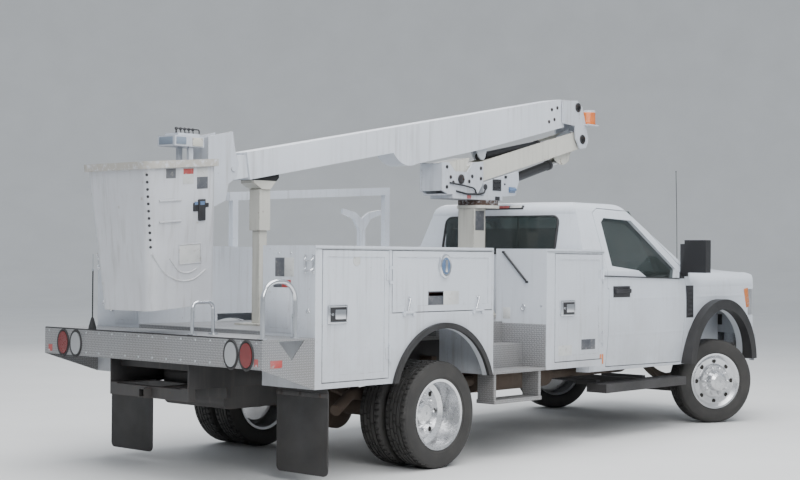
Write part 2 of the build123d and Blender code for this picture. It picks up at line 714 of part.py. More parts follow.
def hinge_on_body(place, along, side, away, face):
    """A hinge's pin and end tabs: away is the direction from the hinge line to the body's metal."""
    rod(*hinge_ends(place, along, KNUCKLE_HALF + TAB_LENGTH), HINGE_PIN)
    for sign in (-1, 1):
        near = [place[i] + sign * along[i] * (KNUCKLE_HALF + 1) for i in range(3)]
        far = [near[i] + sign * along[i] * TAB_LENGTH + away[i] * 26 for i in range(3)]
        near = [near[i] - away[i] * (DOOR_GAP / 2 - 1) for i in range(3)]
        block((near[0], far[0]), (face, place[1] + side * HINGE_PIN), (near[2], far[2]))


def hinge_on_door(place, along, side, away, face):
    """A hinge's knuckle and leaf on the door's outer face, against away."""
    near, far = hinge_ends(place, along, KNUCKLE_HALF)
    leaf = [far[i] - away[i] * 34 for i in range(3)]
    block((near[0], leaf[0]), (face, face + side * 5), (near[2], leaf[2]))
    rod(near, far, HINGE_KNUCKLE)
    rod(*hinge_ends(place, along, KNUCKLE_HALF + 1), HINGE_PIN + HINGE_FIT, Mode.SUBTRACT)


def door_hinges(name, x_from, x_to, z_from, z_to, side):
    """Places, line direction and body side of one door's two hinges."""
    y = side * (BODY_HALF_WIDTH + 2 + HINGE_KNUCKLE)
    if name == "drop_door":
        places = [(x, y, z_from - DOOR_GAP / 2) for x in (x_from + HINGE_INSET, x_to - HINGE_INSET)]
        return places, (1, 0, 0), (0, 0, -1)
    places = [(x_to + DOOR_GAP / 2, y, z) for z in (z_from + HINGE_INSET, z_to - HINGE_INSET)]
    return places, (0, 0, 1), (1, 0, 0)


# Compartment banks: hollow side boxes, their doorways cut, with the wheelhouse open below
DOOR_TABLE = (
    # name, x from, x to, z from, z to, on the right side, on the left side
    ("rear_door", -1267, -605, 707, 1603, True, True),
    ("drop_door", -565, 567, 1165, 1603, True, True),
    ("middle_door", 618, 1250, 707, 1603, False, True),
    ("front_door", 1395, 2060, 722, 1593, True, True),
)
CAVITY_TABLE = (
    # x from, x to, z from, z to, on the right side, on the left side
    (BODY_REAR + WALL, -598, BODY_BOTTOM + WALL, BODY_TOP - WALL, True, True),
    (-573, BAY_REAR - WALL + 4, 1140, BODY_TOP - WALL, True, False),
    (-573, 580, 1140, BODY_TOP - WALL, False, True),
    (605, 1263, BODY_BOTTOM + WALL, BODY_TOP - WALL, False, True),
    (BAY_FRONT + WALL, BODY_FRONT - WALL, BODY_BOTTOM + WALL, BODY_TOP - WALL, True, True),
)
for side_name, side in (("right", -1), ("left", 1)):
    on_right = side < 0
    inner_y, outer_y = side * COMPARTMENT_INNER_Y, side * BODY_HALF_WIDTH
    rear_bank_end = BAY_REAR if on_right else BODY_FRONT
    with BuildPart() as compartments:
        with BuildSketch(SIDE.offset(-max(inner_y, outer_y))) as bank:
            with BuildLine():
                Polyline((-ARCH_HALF_CHORD, BODY_BOTTOM), (BODY_REAR, BODY_BOTTOM), (BODY_REAR, BODY_TOP))
                Polyline((BODY_REAR, BODY_TOP), (rear_bank_end, BODY_TOP), (rear_bank_end, BODY_BOTTOM))
                Line((rear_bank_end, BODY_BOTTOM), (ARCH_HALF_CHORD, BODY_BOTTOM))
                ThreePointArc(
                    (ARCH_HALF_CHORD, BODY_BOTTOM),
                    (0, ARCH_TOP),
                    (-ARCH_HALF_CHORD, BODY_BOTTOM),
                )
            make_face()
        extrude(bank.sketch, amount=BODY_HALF_WIDTH - COMPARTMENT_INNER_Y)
        if on_right:
            block((BAY_FRONT, BODY_FRONT), (inner_y, outer_y), (BODY_BOTTOM, BODY_TOP))
        cavity_y = (side * (COMPARTMENT_INNER_Y + WALL), side * (BODY_HALF_WIDTH - DOOR_THICKNESS))
        block((-560, 560), (inner_y, cavity_y[1]), (BODY_BOTTOM - 5, 1100), Mode.SUBTRACT)
        for x_from, x_to, z_from, z_to, right, left in CAVITY_TABLE:
            if right if on_right else left:
                block((x_from, x_to), cavity_y, (z_from, z_to), Mode.SUBTRACT)
        for name, x_from, x_to, z_from, z_to, right, left in DOOR_TABLE:
            if right if on_right else left:
                block(
                    (x_from - DOOR_GAP, x_to + DOOR_GAP),
                    (cavity_y[1] - side * 5, outer_y + side * 5),
                    (z_from - DOOR_GAP, z_to + DOOR_GAP),
                    Mode.SUBTRACT,
                )
                places, along, away = door_hinges(name, x_from, x_to, z_from, z_to, side)
                for place in places:
                    hinge_on_body(place, along, side, away, outer_y)
    finish("compartments_" + side_name, compartments)

    for name, x_from, x_to, z_from, z_to, right, left in DOOR_TABLE:
        if not (right if on_right else left):
            continue
        skin = side * (BODY_HALF_WIDTH + 2)
        back = side * (BODY_HALF_WIDTH - DOOR_THICKNESS + 2)
        with BuildPart() as door:
            block((x_from, x_to), (back, skin), (z_from, z_to))
            # Pressed field: the skin stands in a little inside its border
            block(
                (x_from + 45, x_to - 45),
                (skin - side * 4, skin + side),
                (z_from + 45, z_to - 45),
                Mode.SUBTRACT,
            )
            latch_x = (x_from + x_to) / 2 if name == "drop_door" else x_from + 110
            latch_z = z_to - 90 if name == "drop_door" else (z_from + z_to) / 2
            block((latch_x - 45, latch_x + 45), (skin, skin - side * 10), (latch_z - 60, latch_z + 60))
            block((latch_x - 32, latch_x + 32), (skin, skin + side * 14), (latch_z - 45, latch_z + 45))
            places, along, away = door_hinges(name, x_from, x_to, z_from, z_to, side)
            for place in places:
                hinge_on_door(place, along, side, away, skin)
        finish("body_" + name + "_" + side_name, door)

# Tail shelf: a deck on the rails behind the body, with a rear apron and tapered side panels
SHELF_SHEET = 10
with BuildPart() as tail_shelf:
    block((SHELF_REAR, BODY_REAR), (-BODY_HALF_WIDTH, BODY_HALF_WIDTH), (SHELF_TOP - SHELF_SHEET, SHELF_TOP))
    block(
        (SHELF_REAR, SHELF_REAR + SHELF_SHEET),
        (-BODY_HALF_WIDTH, BODY_HALF_WIDTH),
        (818, SHELF_TOP - SHELF_SHEET),
    )
    for side in (-1, 1):
        side_plate(
            (side * BODY_HALF_WIDTH, side * (BODY_HALF_WIDTH - SHELF_SHEET)),
            ((SHELF_REAR, 818), (SHELF_REAR, SHELF_TOP), (BODY_REAR, SHELF_TOP), (BODY_REAR, BODY_BOTTOM)),
        )
        side_plate(
            (side * (BODY_HALF_WIDTH + 5), side * (BODY_HALF_WIDTH - 20)),
            ((-1673, 1000), (-1431, 1000), (-1552, 870)),
            Mode.SUBTRACT,
        )
        block(
            (-1780, BODY_REAR),
            (side * 345, side * FRAME_HALF_WIDTH),
            (FRAME_TOP, SHELF_TOP - SHELF_SHEET),
        )
    for y, radius in TAIL_LAMP_TABLE:
        with BuildSketch(ACROSS.offset(SHELF_REAR - 10)) as oval:
            with Locations((y, TAIL_LAMP_Z)):
                Ellipse(57, radius)
        extrude(oval.sketch, amount=40, mode=Mode.SUBTRACT)
finish("tail_shelf", tail_shelf)

# Mud flaps behind the rear wheels, hung from the compartments' underside
with BuildPart() as mud_flaps:
    for side in (-1, 1):
        with BuildSketch(ACROSS.offset(-1200)) as flap:
            with Locations((side * 935, 363)):
                RectangleRounded(500, 600, 40)
        extrude(flap.sketch, amount=10)
finish("mud_flaps", mud_flaps)

# Grab rails: the hoop over the right of the shelf and the small inverted-U step beside it
RAIL_TABLE = (
    # y, x from, x to, top z, bend, tube radius, foot radius
    (-1155, -1780, -1485, 1392, 130, 16, 32),
    (-420, -1750, -1563, 1237, 45, 13, 34),
)
with BuildPart() as grab_rails:
    for y, x_from, x_to, top, bend, radius, foot in RAIL_TABLE:
        corners = ((x_from, SHELF_TOP), (x_from, top), (x_to, top), (x_to, SHELF_TOP))
        bent_tube([(x, y, z) for x, z in corners], bend, radius)
        for x in (x_from, x_to):
            rod((x, y, SHELF_TOP), (x, y, SHELF_TOP + 12), foot)
finish("grab_rails", grab_rails)

# Pedestal: a square tube column on a base plate, with a round top flange
PEDESTAL_HALF_X = 80
PEDESTAL_HALF_Y = 88
TURNTABLE_Z = 2018
PEDESTAL_HEAD = 26
HEAD_RADIUS = 188
with BuildPart() as pedestal:
    head_bottom = TURNTABLE_Z - PEDESTAL_HEAD
    column_front = PEDESTAL_X + PEDESTAL_HALF_X
    block((PEDESTAL_X - 230, PEDESTAL_X + 230), (-240, 240), (FLOOR_TOP, FLOOR_TOP + 25))
    block(
        (PEDESTAL_X - PEDESTAL_HALF_X, column_front),
        (-PEDESTAL_HALF_Y, PEDESTAL_HALF_Y),
        (FLOOR_TOP + 25, head_bottom),
    )
    for side in (-1, 1):
        side_plate(
            (side * PEDESTAL_HALF_Y - 6, side * PEDESTAL_HALF_Y + 6),
            (
                (PEDESTAL_X - 220, FLOOR_TOP + 25),
                (PEDESTAL_X + 220, FLOOR_TOP + 25),
                (column_front, FLOOR_TOP + 260),
                (PEDESTAL_X - PEDESTAL_HALF_X, FLOOR_TOP + 260),
            ),
        )
    # The head reaches forward of the column, over a gusset
    rod((TURRET_X, 0, head_bottom), (TURRET_X, 0, TURNTABLE_Z), HEAD_RADIUS)
    side_plate((-12, 12), ((column_front, 1840), (column_front, head_bottom), (TURRET_X + 100, head_bottom)))
finish("pedestal", pedestal)

# Boom rest: a post on the bed floor with a sleeve and a tilted cradle of two rubber pads
UPPER_RISE = sin(radians(UPPER_SLOPE)) / cos(radians(UPPER_SLOPE))
UPPER_HALF_DEPTH = 102
REST_FROM_TIP = 362
REST_X = tip_x + REST_FROM_TIP
POST_HALF = 38
SLEEVE_HALF = 55


def upper_axis_z(x):
    """Height of the parked upper boom's centre line at x."""
    return ELBOW_UPPER[1] - (ELBOW_UPPER[0] - x) * UPPER_RISE


with BuildPart() as boom_rest:
    rest_z = upper_axis_z(REST_X) - UPPER_HALF_DEPTH / cos(radians(UPPER_SLOPE)) - REST_GAP
    block((REST_X - 130, REST_X + 130), (-130, 130), (FLOOR_TOP, FLOOR_TOP + 14))
    block((REST_X - POST_HALF, REST_X + POST_HALF), (-POST_HALF, POST_HALF), (FLOOR_TOP + 14, 1752))
    block((REST_X - SLEEVE_HALF, REST_X + SLEEVE_HALF), (-SLEEVE_HALF, SLEEVE_HALF), (1752, 2060))
    side_plate(
        (-70, 70),
        (
            (REST_X - 40, 2060),
            (REST_X + 40, 2060),
            (REST_X + 130, rest_z + 130 * UPPER_RISE - 30),
            (REST_X + 130, rest_z + 130 * UPPER_RISE),
            (REST_X - 130, rest_z - 130 * UPPER_RISE),
            (REST_X - 130, rest_z - 130 * UPPER_RISE - 30),
        ),
    )
finish("boom_rest", boom_rest)

# Ladder rack on the left compartments: two posts, a long rail and a forked cradle
RACK_Y = 900
RACK_SLOPE = (2160 - 2045) / (1683 + 263)
with BuildPart() as ladder_rack:
    side_plate(
        (RACK_Y - 25, RACK_Y + 25),
        ((-263, 2010), (-263, 2080), (1683, 2080 + 1946 * RACK_SLOPE), (1683, 2010 + 1946 * RACK_SLOPE)),
    )
    for x, top in ((-200, 2030), (1650, 2140)):
        block((x - 30, x + 30), (RACK_Y - 25, RACK_Y + 25), (BODY_TOP, top))
    block((1298, 1358), (RACK_Y - 25, RACK_Y + 25), (BODY_TOP, 1800))
    side_plate(
        (RACK_Y - 12, RACK_Y + 12),
        (
            (1298, 1790),
            (1358, 1790),
            (1440, 1900),
            (1577, 1940),
            (1577, 1985),
            (1420, 1960),
            (1328, 1900),
            (1236, 1960),
            (1080, 1985),
            (1080, 1940),
            (1216, 1900),
        ),
    )
finish("ladder_rack", ladder_rack)


# Cab doors: cut from the cab's own form, with window frame, handle and tow mirror
PANE_DEPTH = 30
PANE_THICKNESS = 6
with BuildPart() as pane_outside:
    cab_form(PANE_DEPTH)
with BuildPart() as pane_inside:
    cab_form(PANE_DEPTH + PANE_THICKNESS)
for side_name, side in (("right", -1), ("left", 1)):
    with BuildPart() as cab_door:
        door_form(side, 0, SILL_INNER_Y + 20 + DOOR_GAP)
        add(cab_hull.part, mode=Mode.INTERSECT)
        cab_width_form(CAB_WALL, Mode.SUBTRACT)
        side_plate((side * 560, side * 1050), WINDOW_OUTLINE, Mode.SUBTRACT)
        block((2540, 2700), (side * 1000, side * 1030), (1255, 1290))
        # Tow mirror: a foot on the sail panel, two arms and a tall housing
        block((3590, 3650), (side * 960, side * 1030), (1380, 1440))
        block((3605, 3635), (side * 1012, side * 1080), (1400, 1700))
        block((3575, 3665), (side * 1075, side * 1298), (1435, 1735))
    finish("cab_door_" + side_name, cab_door)

    with BuildPart() as door_glass:
        side_plate((side * 560, side * 1050), WINDOW_OUTLINE)
        add(pane_outside.part, mode=Mode.INTERSECT)
        add(pane_inside.part, mode=Mode.SUBTRACT)
    finish("door_glass_" + side_name, door_glass)

# Front wheels: knuckle, wheel and tyre on each side, parked with the wheels turned to the right
TYRE_PROFILE = (
    # distance from the middle of the tread, radius
    (85.5, RIM_RADIUS - 10.7),
    (85.5, RIM_RADIUS + 1),
    (99, 282),
    (TYRE_WIDTH / 2, 325),
    (104, 372),
    (82, 395),
    (0, TYRE_RADIUS),
)
BEAD_RADIUS = RIM_RADIUS - 11
RIM_SEAT = RIM_HALF_WIDTH - 6


def tyre_section(centre):
    """Half outline of a tyre's section about its own middle, mirrored to a closed face."""
    bead, heel, low_wall, wide_wall, high_wall, shoulder, crown = TYRE_PROFILE
    for way in (-1, 1):
        Line((centre + way * bead[0], bead[1]), (centre + way * heel[0], heel[1]))
        Line((centre + way * heel[0], heel[1]), (centre + way * low_wall[0], low_wall[1]))
        ThreePointArc(
            (centre + way * low_wall[0], low_wall[1]),
            (centre + way * wide_wall[0], wide_wall[1]),
            (centre + way * high_wall[0], high_wall[1]),
        )
        Line((centre + way * high_wall[0], high_wall[1]), (centre + way * shoulder[0], shoulder[1]))
    ThreePointArc((centre - shoulder[0], shoulder[1]), (centre, crown[1]), (centre + shoulder[0], shoulder[1]))
    Line((centre - bead[0], bead[1]), (centre + bead[0], bead[1]))


FRONT_RIM_OUTLINE = (
    # distance outboard of the rim's middle, radius
    (-RIM_HALF_WIDTH, RIM_RADIUS),
    (-RIM_SEAT, RIM_RADIUS),
    (-RIM_SEAT, BEAD_RADIUS),
    (RIM_SEAT, BEAD_RADIUS),
    (RIM_SEAT, RIM_RADIUS),
    (RIM_HALF_WIDTH, RIM_RADIUS),
    (90, 246),
    (62, 216),
    (58, 165),
    (78, 150),
    (84, 96),
    (150, 84),
    (166, 58),
    (168, 0),
    (30, 0),
    (30, 31),
    (8, 31),
    (8, 180),
    (30, 180),
    (30, 150),
    (48, 165),
    (50, 222),
    (72, 240),
    (-84, 243),
)
for side_name, side in (("right", -1), ("left", 1)):
    turn = radians(PARKED_STEER)
    outward = Vector(side * sin(turn), side * cos(turn), 0)
    kingpin = Vector(REAR_AXLE_X + FRONT_AXLE_X, side * KINGPIN_Y, HUB_Z)
    centre = kingpin + outward * FRONT_WHEEL_OFFSET
    wheel_section = Plane(origin=centre, x_dir=outward, z_dir=(outward.Y, -outward.X, 0))
    spin = Axis(centre, outward)

    with BuildPart() as knuckle:
        for z_low, z_high in ((300, 350 - KNUCKLE_GAP), (446 + KNUCKLE_GAP, 496)):
            with BuildSketch(Plane(origin=(kingpin.X, kingpin.Y, z_low), x_dir=outward)):
                Circle(34)
                with Locations((20, 0)):
                    Rectangle(44, 60)
                Circle(17.5, mode=Mode.SUBTRACT)
            extrude(amount=z_high - z_low)
        with BuildSketch(Plane(origin=centre - outward * 8, z_dir=outward)) as flange:
            Circle(98)
        extrude(flange.sketch, amount=12)
        with BuildSketch(Plane(origin=centre, z_dir=outward)) as spindle:
            Circle(SPINDLE_RADIUS)
        extrude(spindle.sketch, amount=27)
        # The beam's end and its kingpin stay clear of the flange
        with Locations((kingpin.X, kingpin.Y, HUB_Z)):
            Cylinder(35, 96 + 2 * KNUCKLE_GAP, mode=Mode.SUBTRACT)
    finish("front_knuckle_" + side_name, knuckle)

    with BuildPart() as front_wheel:
        with BuildSketch(wheel_section) as rim:
            with BuildLine():
                Polyline(*FRONT_RIM_OUTLINE, close=True)
            make_face()
        revolve(rim.sketch, axis=spin)
    finish("front_wheel_" + side_name, front_wheel)

    with BuildPart() as front_tyre:
        with BuildSketch(wheel_section) as tyre:
            with BuildLine():
                tyre_section(0)
            make_face()
        revolve(tyre.sketch, axis=spin)
    finish("front_tyre_" + side_name, front_tyre)

# Twin rear wheels: two rims back to back on one hub, and their two tyres
TWIN_MIDDLE_Y = (REAR_OUTER_WHEEL_Y + REAR_INNER_WHEEL_Y) / 2
TWIN_SPREAD = (REAR_OUTER_WHEEL_Y - REAR_INNER_WHEEL_Y) / 2
REAR_RIM_OUTLINE = (
    # distance outboard of the middle between the twins, radius
    (TWIN_SPREAD + RIM_HALF_WIDTH, RIM_RADIUS),
    (TWIN_SPREAD + RIM_SEAT, RIM_RADIUS),
    (TWIN_SPREAD + RIM_SEAT, BEAD_RADIUS),
    (TWIN_SPREAD - RIM_SEAT, BEAD_RADIUS),
    (TWIN_SPREAD - RIM_SEAT, RIM_RADIUS),
    (TWIN_SPREAD - RIM_HALF_WIDTH, RIM_RADIUS),
    (34, 244),
    (12, 216),
    (-12, 216),
    (-34, 244),
    (RIM_HALF_WIDTH - TWIN_SPREAD, RIM_RADIUS),
    (RIM_SEAT - TWIN_SPREAD, RIM_RADIUS),
    (RIM_SEAT - TWIN_SPREAD, BEAD_RADIUS),
    (-RIM_SEAT - TWIN_SPREAD, BEAD_RADIUS),
    (-RIM_SEAT - TWIN_SPREAD, RIM_RADIUS),
    (-RIM_HALF_WIDTH - TWIN_SPREAD, RIM_RADIUS),
    (-88 - TWIN_SPREAD, 243),
    (-48, 241),
    (-26, 206),
    (-12, 206),
    (-12, 190),
    (-110, 190),
    (-110, 90),
    (-200, 80),
    (-200, 31),
    (-150, 31),
    (-150, 0),
    (92, 0),
    (90, 62),
    (76, 84),
    (24, 96),
    (12, 104),
    (12, 206),
    (26, 206),
    (48, 241),
    (TWIN_SPREAD + 88, 243),
)
for side_name, side in (("right", -1), ("left", 1)):
    hub = Vector(REAR_AXLE_X, side * TWIN_MIDDLE_Y, HUB_Z)
    outward = Vector(0, side, 0)
    wheel_section = Plane(origin=hub, x_dir=outward, z_dir=(outward.Y, 0, 0))
    spin = Axis(hub, outward)
    with BuildPart() as rear_wheels:
        with BuildSketch(wheel_section) as rims:
            with BuildLine():
                Polyline(*REAR_RIM_OUTLINE, close=True)
            make_face()
        revolve(rims.sketch, axis=spin)
    finish("rear_wheels_" + side_name, rear_wheels)

    with BuildPart() as rear_tyres:
        for middle in (-TWIN_SPREAD, TWIN_SPREAD):
            with BuildSketch(wheel_section) as tyre:
                with BuildLine():
                    tyre_section(middle)
                make_face()
            revolve(tyre.sketch, axis=spin)
    finish("rear_tyres_" + side_name, rear_tyres)

# Turret: bearing, base plate and two side plates with a notch in their tops
RING_RADIUS = 178
PLATE_INNER = 105
PLATE_OUTER = 125
TURRET_BASE = 2064
TURRET_DECK = 2102
LIFT_BASE_PIN = (1930, 2155)
LIFT_TOP_PIN = (3080, 2475)
EYE_HALF = 22
PIN_FIT = 0.4
LUG_Y = (25, 39)
PIN_HEAD = 8
with BuildPart() as turret:
    rod((TURRET_X, 0, TURNTABLE_Z), (TURRET_X, 0, TURRET_BASE), RING_RADIUS)
    block((1376, 2065), (-PLATE_OUTER, PLATE_OUTER), (TURRET_BASE, TURRET_DECK))
    for side in (-1, 1):
        side_plate(
            (side * PLATE_INNER, side * PLATE_OUTER),
            (
                (1235, 2128),
                (1235, 2368),
                (1331, 2368),
                (1412, 2297),
                (1584, 2300),
                (1658, 2385),
                (1795, 2400),
                (1795, 2212),
                (1705, TURRET_DECK - 4),
                (1317, TURRET_DECK - 4),
            ),
        )
        side_plate(
            (side * LUG_Y[0], side * LUG_Y[1]),
            ((1885, TURRET_DECK), (1975, TURRET_DECK), (1962, 2178), (1930, 2194), (1898, 2178)),
        )
    block((1240, 1256), (-PLATE_INNER, PLATE_INNER), (2126, 2360))
    block((1256, 1380), (-PLATE_INNER, PLATE_INNER), (TURRET_DECK - 12, TURRET_DECK - 2))
    pin(*LOWER_PIVOT, (-PLATE_OUTER - 8, PLATE_OUTER + 8), 30)
    pin(*LIFT_BASE_PIN, (-LUG_Y[1], LUG_Y[1]), 15)
finish("turret", turret)

# Lower control box, on the turret's right edge under the boom
with BuildPart() as control_box:
    side_plate(
        (-122, -60),
        ((1800, TURRET_DECK), (1800, 2212), (2302, 2338), (2312, 2253), (2260, 2120), (2066, TURRET_DECK)),
    )
finish("control_box", control_box)

# Lower boom: a box tube between the turret's pivot and the elbow, open on top near the elbow
LOWER_HALF_DEPTH = 85
LOWER_HALF_WIDTH = 90
TUBE_WALL = 10
lower_reach = hypot(ELBOW_LOWER[0] - LOWER_PIVOT[0], ELBOW_LOWER[1] - LOWER_PIVOT[1])
lower_slope = atan2(ELBOW_LOWER[1] - LOWER_PIVOT[1], ELBOW_LOWER[0] - LOWER_PIVOT[0])
LOWER = Plane(
    origin=(REAR_AXLE_X + LOWER_PIVOT[0], 0, LOWER_PIVOT[1]),
    x_dir=(cos(lower_slope), 0, sin(lower_slope)),
    z_dir=(0, -1, 0),
)
SLOT_START = 350
SLOT_HALF_WIDTH = 74
with BuildPart() as lower_boom:
    with BuildSketch(LOWER) as tube:
        with Locations((lower_reach / 2, 0)):
            Rectangle(lower_reach, 2 * LOWER_HALF_DEPTH)
        Circle(LOWER_HALF_DEPTH)
        with Locations((lower_reach, 0)):
            Circle(LOWER_HALF_DEPTH)
    extrude(tube.sketch, amount=LOWER_HALF_WIDTH, both=True)
    # Root fitting, which shows in the turret's notch
    side_plate(
        (-LOWER_HALF_WIDTH, LOWER_HALF_WIDTH),
        ((1345, 2370), (1424, 2290), (1440, 2200), (1620, 2250), (1590, 2330), (1650, 2428)),
    )
    with BuildSketch(LOWER) as bore:
        with Locations((lower_reach / 2 + 120, 0)):
            Rectangle(lower_reach, 2 * (LOWER_HALF_DEPTH - TUBE_WALL))
    extrude(bore.sketch, amount=LOWER_HALF_WIDTH - TUBE_WALL, both=True, mode=Mode.SUBTRACT)
    with BuildSketch(LOWER) as slot:
        with Locations(((lower_reach + 100 + SLOT_START) / 2, LOWER_HALF_DEPTH)):
            Rectangle(lower_reach + 100 - SLOT_START, 3 * TUBE_WALL)
    extrude(slot.sketch, amount=SLOT_HALF_WIDTH, both=True, mode=Mode.SUBTRACT)
    pin(*LOWER_PIVOT, (-LOWER_HALF_WIDTH - 5, LOWER_HALF_WIDTH + 5), 30 + PIN_FIT, Mode.SUBTRACT)
    pin(*ELBOW_LOWER, (-LOWER_HALF_WIDTH - 5, LOWER_HALF_WIDTH + 5), 28 + PIN_FIT, Mode.SUBTRACT)
    # Lugs for the lift cylinder's rod
    for side in (-1, 1):
        side_plate(
            (side * LUG_Y[0], side * LUG_Y[1]),
            ((2950, 2524), (3240, 2596), (3190, 2475), (3110, 2442), (3050, 2442), (2990, 2475)),
        )
    # Pin heads on the lugs: the rod's eye carries its own stub between them
    for side in (-1, 1):
        pin(*LIFT_TOP_PIN, (side * LUG_Y[1], side * (LUG_Y[1] + PIN_HEAD)), 22)
finish("lower_boom", lower_boom)


def cylinder_barrel(base, tip, length, radius):
    """A cylinder's barrel from its eye at base towards tip, its rod's bore open at the far end."""
    span = hypot(tip[0] - base[0], tip[1] - base[1])
    way = ((tip[0] - base[0]) / span, (tip[1] - base[1]) / span)

    def at(distance):
        return (base[0] + way[0] * distance, 0, base[1] + way[1] * distance)

    pin(*base, (-EYE_HALF, EYE_HALF), 30)
    rod(at(10), at(80), 19)
    rod(at(75), at(length), radius)
    rod(at(length - 40), at(length), radius + 5)
    rod(at(110), at(length + 5), ROD_RADIUS + PIN_FIT, Mode.SUBTRACT)
    pin(*base, (-EYE_HALF - 1, EYE_HALF + 1), 15.5, Mode.SUBTRACT)


def cylinder_rod(base, tip, overlap_start):
    """A cylinder's rod from inside its barrel to its eye, filled by its pin's stub, at tip."""
    span = hypot(tip[0] - base[0], tip[1] - base[1])
    way = ((tip[0] - base[0]) / span, (tip[1] - base[1]) / span)
    start = (base[0] + way[0] * overlap_start, 0, base[1] + way[1] * overlap_start)
    rod(start, (tip[0] - way[0] * ROD_RADIUS, 0, tip[1] - way[1] * ROD_RADIUS), ROD_RADIUS)
    pin(*tip, (-EYE_HALF, EYE_HALF), 30)


ROD_RADIUS = 20
LIFT_BARREL = 1040
TIP_CYLINDER_BASE = (1890, 2452)
TIP_CYLINDER_ROD = (3150, 2690)
TIP_BARREL = 880
with BuildPart() as lift_cylinder:
    cylinder_barrel(LIFT_BASE_PIN, LIFT_TOP_PIN, LIFT_BARREL, 42)
finish("lift_cylinder", lift_cylinder)
with BuildPart() as lift_rod:
    cylinder_rod(LIFT_BASE_PIN, LIFT_TOP_PIN, 300)
finish("lift_rod", lift_rod)
with BuildPart() as upper_cylinder:
    cylinder_barrel(TIP_CYLINDER_BASE, TIP_CYLINDER_ROD, TIP_BARREL, 34)
finish("upper_cylinder", upper_cylinder)
with BuildPart() as upper_rod:
    cylinder_rod(TIP_CYLINDER_BASE, TIP_CYLINDER_ROD, 300)
finish("upper_rod", upper_rod)

# Elbow: two plates that carry both booms' pins, the upper cylinder's lugs and the beacon
ELBOW_INNER = 106
ELBOW_OUTER = 122
with BuildPart() as elbow:
    for side in (-1, 1):
        side_plate(
            (side * ELBOW_INNER, side * ELBOW_OUTER),
            (
                (2985, 2822),
                (2985, 3036),
                (3216, 3052),
                (3297, 2995),
                (3350, 2850),
                (3402, 2690),
                (3360, 2612),
                (3262, 2600),
                (3196, 2690),
                (3180, 2812),
            ),
        )
        side_plate(
            (side * 46, side * 60),
            (
                (3118, 2716),
                (3150, 2728),
                (3320, 2800),
                (3345, 2800),
                (3345, 2690),
                (3300, 2650),
                (3150, 2658),
                (3118, 2676),
            ),
        )
    block((3322, 3346), (-ELBOW_INNER, ELBOW_INNER), (2778, 2890))
    pin(*ELBOW_UPPER, (-ELBOW_OUTER - 8, ELBOW_OUTER + 8), 28)
    pin(*ELBOW_LOWER, (-ELBOW_OUTER - 8, ELBOW_OUTER + 8), 28)
    for side in (-1, 1):
        pin(*TIP_CYLINDER_ROD, (side * 60, side * (60 + PIN_HEAD)), 22)
    block((3330, 3500), (-170, -20), (2826, 2838))
    block((3330, 3346), (-122, -106), (2800, 2838))
    rod((3425, -95, 2838), (3425, -95, 2975), 72)
finish("elbow", elbow)

# Upper boom: a box tube with a deep tapered girder beneath it and wear pads in its mouth
UPPER = Plane(
    origin=(REAR_AXLE_X + ELBOW_UPPER[0], 0, ELBOW_UPPER[1]),
    x_dir=(-cos(radians(UPPER_SLOPE)), 0, -sin(radians(UPPER_SLOPE))),
    z_dir=(0, 1, 0),
)
UPPER_HALF_WIDTH = 98
UPPER_WALL = 8
INNER_HALF_DEPTH = 84
INNER_HALF_WIDTH = 80
PAD_CLEARANCE = 0.5
with BuildPart() as upper_boom:
    with BuildSketch(UPPER) as tube:
        with BuildLine():
            Polyline(
                (-40, -62),
                (40, -UPPER_HALF_DEPTH),
                (UPPER_LENGTH, -UPPER_HALF_DEPTH),
                (UPPER_LENGTH, UPPER_HALF_DEPTH),
                (245, UPPER_HALF_DEPTH),
                (0, 62),
                (-62, 30),
                (-62, -40),
                (-40, -62),
            )
        make_face()
    extrude(tube.sketch, amount=UPPER_HALF_WIDTH, both=True)
    with BuildSketch(UPPER) as girder:
        with BuildLine():
            Line((225, -95), (225, -160))
            Polyline((225, -160), (1488, -216), (2363, -228))
            ThreePointArc((2363, -228), (2560, -190), (2638, -95))
            Line((2638, -95), (225, -95))
        make_face()
    extrude(girder.sketch, amount=UPPER_HALF_WIDTH, both=True)
    with BuildSketch(UPPER) as hollow:
        with Locations(((120 + UPPER_LENGTH + 100) / 2, 0)):
            Rectangle(UPPER_LENGTH + 100 - 120, 2 * (UPPER_HALF_DEPTH - UPPER_WALL))
    extrude(hollow.sketch, amount=UPPER_HALF_WIDTH - UPPER_WALL, both=True, mode=Mode.SUBTRACT)
    with BuildSketch(UPPER) as pads:
        with Locations((UPPER_LENGTH - 60, 0)):
            Rectangle(120, 2 * (UPPER_HALF_DEPTH - UPPER_WALL))
    extrude(pads.sketch, amount=UPPER_HALF_WIDTH - UPPER_WALL, both=True)
    with BuildSketch(UPPER) as pad_bore:
        with Locations((UPPER_LENGTH - 60, 0)):
            Rectangle(200, 2 * (INNER_HALF_DEPTH + PAD_CLEARANCE))
    extrude(pad_bore.sketch, amount=INNER_HALF_WIDTH + PAD_CLEARANCE, both=True, mode=Mode.SUBTRACT)
    pin(*ELBOW_UPPER, (-UPPER_HALF_WIDTH - 5, UPPER_HALF_WIDTH + 5), 28 + PIN_FIT, Mode.SUBTRACT)
    for side in (-1, 1):
        side_plate(
            (side * LUG_Y[0], side * LUG_Y[1]),
            (
                (1790, 2540),
                (1960, 2570),
                (1940, 2490),
                (1925, 2445),
                (1908, 2424),
                (1870, 2424),
                (1840, 2450),
            ),
        )
    pin(*TIP_CYLINDER_BASE, (-LUG_Y[1], LUG_Y[1]), 15)
finish("upper_boom", upper_boom)

